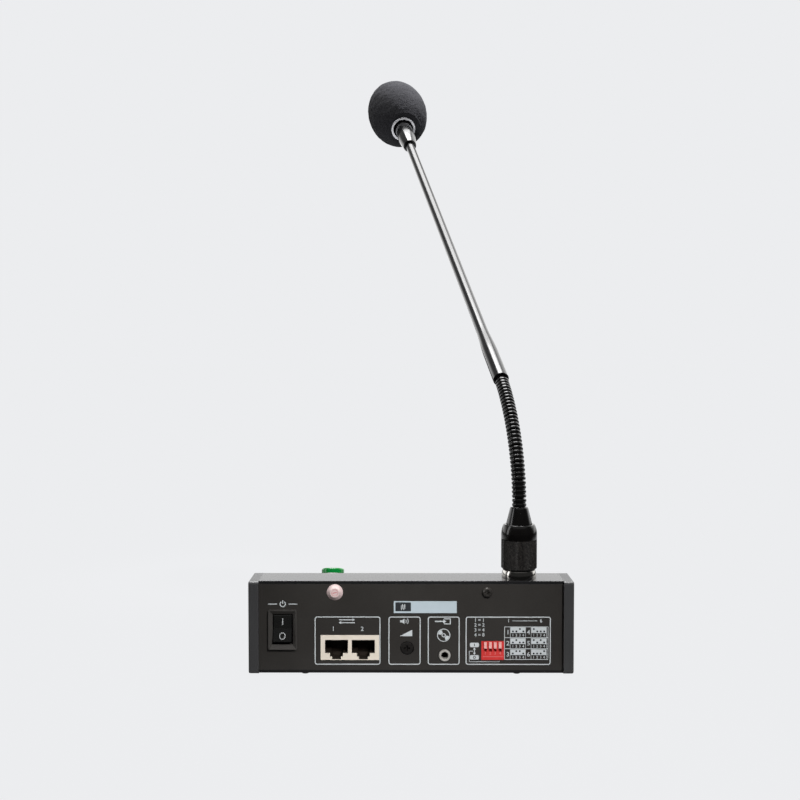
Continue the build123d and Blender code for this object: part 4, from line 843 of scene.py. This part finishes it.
# Pan heads: a low dome over a plain shank
cross_arm, cross_half, cross_deep = 1.55, 0.42, 1.05
pan, pan_high, shank, shank_long = 2.65, 1.7, 1.4, 4.0
dome = [(pan - 0.05, 0.7), (pan * 0.9, 1.2), (pan * 0.72, 1.55), (1.75, pan_high)]
rings = [(shank, -shank_long), (shank, 0.0), (pan, 0.0)] + dome
pan_head = cross_screw(rings, cross_arm, cross_half, cross_deep, finishes["black_screw"])
rear_x, rear_z, low_x, low_y, tray_low = 39.2, 44.4, 55, 59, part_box("base_tray")[0].z / MM
spots = [(side * rear_x, panel_y, rear_z) for side in (1, -1)]
spots += [(side * low_x, end * low_y, tray_low) for side in (-1, 1) for end in (-1, 1)]
facings = [(0, 1, 0)] * 2 + [(0, 0, -1)] * 4
placed("pan_head_screws", pan_head, spots, facings, "console", "panel_screws")

# Countersunk heads of the cheeks
flat_head, flat_edge, flat_long = 2.8, 0.15, 6.0
rings = [(shank, -flat_long), (shank, shank - flat_head), (flat_head, -flat_edge), (flat_head, 0.0)]
countersunk = cross_screw(rings, cross_arm, cross_half, cross_deep, finishes["black_screw"])
cheek_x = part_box("cheek_right")[1].x / MM
screws_of_cheek = ((-30.5, 10.5), (30.5, 10.5), (43.3, 43.8))
spots = [(side * cheek_x, y, z) for side in (-1, 1) for y, z in screws_of_cheek]
facings = [(side, 0, 0) for side in (-1, 1) for _ in screws_of_cheek]
placed("countersunk_screws", countersunk, spots, facings, "console", "cheek_screws")

# Prints, seen from behind: u runs to -X, v up

ink_low, ink_top, over_top = -0.02, 0.04, 0.07


def rounded(u0, v0, u1, v1, radius, steps=5):
    """Loop of a rectangle with rounded corners."""
    out = []
    for u, v, turn in ((u1, v1, 0), (u0, v1, 1), (u0, v0, 2), (u1, v0, 3)):
        mid_u, mid_v = u + (radius if u == u0 else -radius), v + (radius if v == v0 else -radius)
        for i in range(steps + 1):
            a = (turn + i / steps) * pi / 2
            out.append((mid_u + radius * cos(a), mid_v + radius * sin(a)))
    return out


class Ink:
    """Flat marks of one ink between two heights, kept as plates until they become a piece."""

    def __init__(self, material, low=ink_low, top=ink_top):
        self.material, self.low, self.top, self.marks = material, low, top, []

    def shape(self, loop, hole=None):
        self.marks.append(plate(loop, self.low, self.top, self.material, hole))

    def box(self, u0, v0, u1, v1, radius=0.05):
        self.shape(rounded(u0, v0, u1, v1, radius))

    def frame(self, u0, v0, u1, v1, radius, width):
        inner = rounded(u0 + width, v0 + width, u1 - width, v1 - width, max(radius - width, 0.05))
        self.shape(rounded(u0, v0, u1, v1, radius), inner)

    def line(self, start, end, width):
        a, b = Vector(start), Vector(end)
        side = Vector((a.y - b.y, b.x - a.x)).normalized() * (width / 2)
        self.shape([tuple(a - side), tuple(b - side), tuple(b + side), tuple(a + side)])

    def ring(self, u, v, radius, width, stretch=1.0, steps=48):
        angles = circle_angles(steps)
        outer = [(u + radius * cos(a), v + radius * stretch * sin(a)) for a in angles]
        hole = [(u + (radius - width) * cos(a), v + (radius * stretch - width) * sin(a)) for a in angles]
        self.shape(outer, hole)

    def dot(self, u, v, radius, steps=16):
        self.shape([(u + radius * cos(a), v + radius * sin(a)) for a in circle_angles(steps)])

    def arc(self, u, v, radius, width, start, end, steps=16):
        angles = [radians(start + (end - start) * i / steps) for i in range(steps + 1)]
        outer = [(u + radius * cos(a), v + radius * sin(a)) for a in angles]
        inner = [(u + (radius - width) * cos(a), v + (radius - width) * sin(a)) for a in reversed(angles)]
        self.shape(outer + inner)

    def arrow(self, start, end, width):
        """A line with a solid head at its end."""
        a, b = Vector(start), Vector(end)
        ahead = (b - a).normalized()
        side = Vector((-ahead.y, ahead.x)) * (width * 1.7)
        neck = b - ahead * (width * 2.6)
        self.line(a, neck, width)
        self.shape([tuple(neck - side), tuple(b), tuple(neck + side)])

    def digits(self, text, u, v, height):
        """Figures centred on a place."""
        curve = bpy.data.curves.new("figures", "FONT")
        curve.body, curve.size, curve.align_x, curve.align_y = text, height * 1.42, "CENTER", "CENTER"
        curve.resolution_u, curve.offset = 3, 0.012 * height
        curve.extrude = (self.top - self.low) / 2
        holder = bpy.data.objects.new("figures", curve)
        scene.collection.objects.link(holder)
        mesh = bpy.data.meshes.new_from_object(holder.evaluated_get(bpy.context.evaluated_depsgraph_get()))
        bpy.data.objects.remove(holder)
        mesh.materials.clear()
        mesh.materials.append(self.material)
        mesh.transform(Matrix.Translation((u, v, (self.low + self.top) / 2)))
        self.marks.append(mesh)

    def piece(self, name, where, body):
        return joined(name, self.marks, where, body)


panel = rear_face(0, panel_y, 0)
pale, dark = Ink(light_ink), Ink(dark_ink, ink_top - 0.01, over_top)
frame_line, frame_radius, frame_low, frame_high = 0.5, 1.3, 6.7, 31.78
fine_rule, mark_rule = 0.25, 0.45

# Power switch: its symbol between two rules
switch_u, symbol_v, symbol_radius, symbol_width = -66.1, 38.2, 1.6, 0.5
stroke_from, stroke_to, rule_from, rule_to = 0.2, 2.0, 3.0, 7.6
pale.arc(switch_u, symbol_v, symbol_radius, symbol_width, 125, 415, 28)
pale.line((switch_u, symbol_v + stroke_from), (switch_u, symbol_v + stroke_to), symbol_width)
for side in (-1, 1):
    start, end = switch_u + side * rule_from, switch_u + side * rule_to
    pale.line((start, symbol_v), (end, symbol_v), mark_rule)

# Frames round the four groups
for u0, u1 in ((-49.71, -15.78), (-11.64, 4.91), (8.60, 25.03), (28.11, 71.95)):
    pale.frame(u0, frame_low, u1, frame_high, frame_radius, frame_line)

# Network: two opposed arrows, and a number over each port
link_u, port_reach, header_v, arrow_apart, port_v, port_high = -33.1, 4.1, 29.3, 0.75, 25.3, 2.2
for side in (1, -1):
    v = header_v + side * arrow_apart
    pale.arrow((link_u - side * port_reach, v), (link_u + side * port_reach, v), mark_rule)
for number, u in ((1, -40.1), (2, -25.2)):
    pale.digits(str(number), u, port_v, port_high)

# Volume: loudspeaker and rising wedge
speaker_u, wedge_left, wedge_right, wedge_low, wedge_high = -3.6, -5.87, 0.57, 21.6, 24.9
pale.box(speaker_u - 2.0, header_v - 0.55, speaker_u - 1.1, header_v + 0.55)
horn = ((-1.0, -0.55), (0.2, -1.4), (0.2, 1.4), (-1.0, 0.55))
pale.shape([(speaker_u + u, header_v + v) for u, v in horn])
for radius in (1.3, 2.3):
    pale.arc(speaker_u, header_v, radius, 0.38, -42, 42, 10)
pale.shape([(wedge_left, wedge_low), (wedge_right, wedge_low), (wedge_right, wedge_high)])

# Line in: arrow into a box, and a disc
line_u, box_left, box_right, box_half, disc_v = 16.8, 0.2, 3.6, 1.3, 22.11
pale.arrow((line_u - 4.6, header_v), (line_u + 1.4, header_v), 0.6)
for v in (header_v + box_half, header_v - box_half):
    pale.line((line_u + box_left, v), (line_u + box_right, v), mark_rule)
pale.line((line_u + 3.4, header_v - 1.07), (line_u + 3.4, header_v + 1.07), mark_rule)
for radius in (3.4, 1.05):
    pale.ring(line_u, disc_v, radius, 0.4)
for start in (112, 292):
    pale.arc(line_u, disc_v, 2.85, 1.6, start, start + 58, 10)

# Address switch: weight of each slider, on and off marks, and the table of positions
legend_u, legend_high = 35.2, 1.75
for number, v in enumerate((29.9, 27.4, 24.8, 22.2), start=1):
    pale.digits(f"{number} = {2 ** (number - 1)}", legend_u, v, legend_high)
on_v, middle_v, off_v, box_u, box_wide, box_high = 17.05, 13.8, 10.6, 32.65, 4.65, 2.3
for v in (on_v, off_v):
    pale.box(box_u - box_wide / 2, v - box_high / 2, box_u + box_wide / 2, v + box_high / 2, 0.6)
    end = v + (box_high / 2 + 0.15) * (1 if v < middle_v else -1)
    pale.arrow((box_u, middle_v), (box_u, end), 0.42)
dark.line((box_u, on_v - 0.7), (box_u, on_v + 0.7), 0.4)
dark.ring(box_u, off_v, 0.75, 0.3, steps=24)
bracket = [(32.0, middle_v), (30.0, middle_v), (30.0, 8.3), (45.5, 8.3), (45.5, 8.9)]
for start, end in zip(bracket, bracket[1:]):
    pale.line(start, end, fine_rule)

count_v, rule = 29.6, 0.3
pale.digits("1", 50.2, count_v, legend_high)
pale.line((52.2, count_v), (64.9, count_v), rule)
pale.digits("6", 66.9, count_v, legend_high)
table_left, table_right, table_low, table_high = 48.0, 70.7, 9.36, 26.62
row_high, column_pitch, block_wide, block_high = (table_high - table_low) / 3, 1.79, 7.7, 3.15
pale.frame(table_left, table_low, table_right, table_high, rule, rule)
for v in (table_low + row_high, table_low + 2 * row_high):
    pale.line((table_left + rule, v), (table_right - rule, v), rule)
ups_of_number = {1: (2,), 2: (1,), 3: (1, 2), 4: (0,), 5: (0, 2), 6: (3,)}
for number, ups in ups_of_number.items():
    half, row = divmod(number - 1, 3)
    top = table_high - row * row_high - rule / 2
    number_u, block_u = (49.9, 51.2) if half == 0 else (60.5, 61.95)
    pale.digits(str(number), number_u, top - row_high / 2, 2.3)
    for edge in (block_u - 0.1, block_u + block_wide + 0.1):
        pale.line((edge, top - row_high + rule), (edge, top - rule / 2), 0.18)
    pale.box(block_u + 0.05, top - block_high, block_u + block_wide - 0.05, top - 0.2, 0.1)
    for k in range(4):
        u = block_u + 1.25 + k * column_pitch
        dark.dot(u, top - (1.1 if k in ups else 2.35), 0.5)
        pale.digits(str(k + 1), u, top - 4.35, 1.35)
pale.piece("panel_print", panel, "console")
dark.piece("panel_print_over", panel, "console")

# Address switch's own print: a rule under the sliders and their numbers
dip_ink = Ink(dip_print, ink_low, 0.03)
first_slider_u, slider_pitch, slider_v, slider_high, dip_rule_v = 38.27, 2.54, 12.65, 1.4, 10.9
dip_ink.line((37.0, dip_rule_v), (47.2, dip_rule_v), fine_rule)
for number in range(4):
    dip_ink.digits(str(number + 1), first_slider_u + slider_pitch * number, slider_v, slider_high)
dip_ink.piece("address_switch_print", rear_face(0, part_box("dip_body")[1].y / MM, 0), "console")

# Serial label: dark window with a number sign
label_face = rear_face(0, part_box("serial_label")[1].y / MM, 0)
window_left, window_right, window_low, window_high = -8.08, -0.05, 34.58, 39.19
sign_u, sign_v, sign_high = -4.07, 36.9, 3.0
label_dark, sign = Ink(dark_ink), Ink(light_ink, 0.03, 0.06)
label_dark.box(window_left, window_low, window_right, window_high, 0.2)
label_dark.piece("label_window", label_face, "console")
sign.digits("#", sign_u, sign_v, sign_high)
sign.piece("label_sign", label_face, "console")

# Seal over a rear screw: a ring with a bar, in faint red
seal_face = rear_face(rear_x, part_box("warranty_seal")[1].y / MM, rear_z)
stamp = Ink(seal_ink, -0.01, 0.015)
stamp.ring(0, 0, 1.7, 0.22)
stamp.line((-1.1, -0.25), (1.1, 0.35), 0.5)
stamp.piece("seal_stamp", seal_face, "console")

# Rocker: on and off marks, each square to its half of the face
rocker_foot = Vector(joints["power_tilt"]["pos_m"]) / MM
tilt, lift = radians(9), 4.3
ridge = rocker_foot + Vector((0, lift * cos(tilt), lift * sin(tilt)))
lower = bearing(ridge, (0, cos(2 * tilt), sin(2 * tilt)), (-1, 0, 0))
on_mark, off_mark = Ink(mark_ink), Ink(mark_ink)
on_mark.line((0, 1.8), (0, 5.2), 0.6)
off_mark.ring(0, -3.9, 1.6, 0.42, 1.15)
on_mark.piece("rocker_on_mark", rear_face(*ridge), "power_rocker")
off_mark.piece("rocker_off_mark", lower, "power_rocker")

# Zone keys: one number on each cap, which reads from the user's side
key_high, key_number_high = 1.0, 3.2
for number in range(1, 5):
    low, high = (Vector(corner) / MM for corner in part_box(f"zone_key_{number}"))
    middle = (low + high) / 2
    key_place = on_deck(middle.x, (middle - strip_edge).dot(down_slope), key_high)
    cap_ink = Ink(light_ink, -0.02, 0.03)
    cap_ink.digits(str(number), 0, 0, key_number_high)
    cap_ink.marks[0].transform(Matrix.Rotation(pi, 4, "Z"))
    key_face = bearing(key_place, press, (-1, 0, 0))
    cap_ink.piece(f"zone_number_{number}", key_face, f"zone_key_{number}")

# Camera, floor and light

camera_data = bpy.data.cameras.new("rear_view")
camera_data.lens, camera_data.sensor_width = 50, 36
camera = bpy.data.objects.new("rear_view", camera_data)
scene.collection.objects.link(camera)
scene.camera = camera
camera.location = (0.00354, 0.632, 0.1673)
pitch_down, yaw = radians(2.414), radians(0.219)
look = Vector((sin(yaw) * cos(pitch_down), -cos(yaw) * cos(pitch_down), -sin(pitch_down)))
camera.rotation_euler = look.to_track_quat("-Z", "Y").to_euler()
camera_data.clip_start, camera_data.clip_end = 0.01, 100

# White of the backdrop and the floor
PALE = "#ecedef"


def window(tree, value, low, high, soft_low, soft_high):
    """1 between two values and 0 outside them, with softened edges."""
    edges = (
        {"From Min": low - soft_low, "From Max": low + soft_low},
        {"From Min": high - soft_high, "From Max": high + soft_high, "To Min": 1.0, "To Max": 0.0},
    )
    rise, fall = (
        add(tree, "ShaderNodeMapRange", {"Value": value, **edge}, interpolation_type="SMOOTHSTEP").outputs[0]
        for edge in edges
    )
    return add(tree, "ShaderNodeMath", {0: rise, 1: fall}, operation="MULTIPLY").outputs[0]


def studio(tree, lights, dim):
    """Radiance of the studio by direction: soft-edged panels of light on a dim surround."""
    way = add(tree, "ShaderNodeSeparateXYZ", {0: add(tree, "ShaderNodeTexCoord").outputs["Generated"]})
    total = dim
    for radiance, edges in lights:
        level = radiance
        for axis, limits in edges.items():
            inside = window(tree, way.outputs[axis], *limits)
            level = add(tree, "ShaderNodeMath", {0: level, 1: inside}, operation="MULTIPLY").outputs[0]
        total = add(tree, "ShaderNodeMath", {0: total, 1: level}, operation="ADD").outputs[0]
    return total


world = bpy.data.worlds.new("studio")
scene.world = world
world.use_nodes = True
sky = world.node_tree
sky.nodes.clear()
# Each light: its radiance, and its edges along X, Y and Z with how softly each of the two ends. A light
# that runs on past the studio's rim ends at a value that no direction reaches
past = 2
softbox_x, softbox_z = (-0.24, 0.32, 0.05, 0.04), (0.55, past, 0.1, 0.1)
lights = [
    # Backdrop behind the user, and its upper part falling off
    (1.6, {"Y": (-past, -0.3, 0.1, 0.2), "Z": (-past, 0.3, 0.1, 0.14)}),
    (0.25, {"Y": (-past, -0.1, 0.1, 0.2), "Z": (0.3, 0.9, 0.1, 0.1)}),
    # Softbox overhead, with its dimmer half towards the user
    (22.0, {"X": softbox_x, "Y": (-0.42, -0.1, 0.06, 0.06), "Z": softbox_z}),
    (5.5, {"X": softbox_x, "Y": (-0.68, -0.42, 0.06, 0.06), "Z": softbox_z}),
    # Ceiling on the rear panel's side
    (0.35, {"X": (-0.9, 0.9, 0.1, 0.1), "Y": (0.36, 0.84, 0.06, 0.06), "Z": (0.56, past, 0.06, 0.1)}),
    # Strip at the user's right
    (3.0, {"X": (0.5, past, 0.1, 0.1), "Y": (0.0, 0.2, 0.03, 0.03), "Z": (-0.2, 0.6, 0.1, 0.1)}),
    # Wall at the user's left
    (1.6, {"X": (-past, -0.3, 0.1, 0.08), "Y": (-0.9, -0.15, 0.1, 0.15), "Z": (0.3, 0.9, 0.1, 0.15)}),
]
glow = studio(sky, lights, 0.03)
seen = add(sky, "ShaderNodeBackground", {"Color": linear(PALE), "Strength": 1.0})
lighting = add(sky, "ShaderNodeBackground", {"Color": (1, 1, 1, 1), "Strength": glow})
eye = add(sky, "ShaderNodeLightPath").outputs["Is Camera Ray"]
mixed = add(sky, "ShaderNodeMixShader", {0: eye, 1: lighting.outputs[0], 2: seen.outputs[0]})
add(sky, "ShaderNodeOutputWorld", {"Surface": mixed.outputs[0]})


def snooted(name, place, target, energy, size, cone, blend):
    """Lamp with a narrow cone on one target, too diffuse to glint on gloss."""
    data = bpy.data.lights.new(name, "SPOT")
    data.energy, data.shadow_soft_size, data.spot_size, data.spot_blend = energy, size, radians(cone), blend
    lamp = bpy.data.objects.new(name, data)
    scene.collection.objects.link(lamp)
    lamp.location = place
    lamp.visible_glossy = False
    lamp.rotation_euler = (Vector(target) - Vector(place)).to_track_quat("-Z", "Y").to_euler()


# Lamps: one over the rear panel's side for the console, one above the windscreen, and a low faint one
# that reaches the windscreen's mouth
panel_low, panel_high = (Vector(corner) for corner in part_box("rear_panel"))
foam_low, foam_top = (Vector(corner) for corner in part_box("windscreen"))
snooted("rear_lamp", (-0.3, 0.87, 0.6), (panel_low + panel_high) / 2, 52.0, 0.12, 20, 0.6)
snooted("top_lamp", (-0.3, -0.66, 1.2), (foam_low + foam_top) / 2, 240.0, 0.05, 9, 0.6)
snooted("mouth_lamp", (0.10, 0.5, 0.10), wand @ Vector((0, 0, mouth)), 38.0, 0.04, 4, 1.0)

# Floor: pale card that glows evenly for the camera, with next to no shadow. It lights the object only from
# under it and from the user's side, because in front of the rear panel it soon ends in the dark
floor_card, card = blank_material("pale_card")
spot = add(card, "ShaderNodeSeparateXYZ", {0: add(card, "ShaderNodeTexCoord").outputs["Object"]})
table_wide = window(card, spot.outputs["X"], -0.45, 0.45, 0.15, 0.15)
table_deep = window(card, spot.outputs["Y"], -0.9, 0.05, 0.2, 0.05)
table = add(card, "ShaderNodeMath", {0: table_wide, 1: table_deep}, operation="MULTIPLY").outputs[0]
straight = add(card, "ShaderNodeLightPath").outputs["Is Camera Ray"]
level = add(card, "ShaderNodeMath", {0: straight, 1: table}, operation="MAXIMUM").outputs[0]
glowing = add(card, "ShaderNodeEmission", {"Color": linear(PALE), "Strength": level})
dull = add(card, "ShaderNodeBsdfDiffuse", {"Color": linear("#c8c8c8"), "Roughness": 0.5})
dull_share = 0.008
some = add(card, "ShaderNodeMixShader", {0: dull_share, 1: glowing.outputs[0], 2: dull.outputs[0]})
add(card, "ShaderNodeOutputMaterial", {"Surface": some.outputs[0]})
floor_half = 20.0
corners = [(x * floor_half, y * floor_half, 0) for x, y in ((-1, -1), (1, -1), (1, 1), (-1, 1))]
floor = bpy.data.objects.new("floor", raw_mesh(corners, [(0, 1, 2, 3)], floor_card))
scene.collection.objects.link(floor)

scene.view_settings.view_transform = "Standard"
scene.view_settings.look = "None"
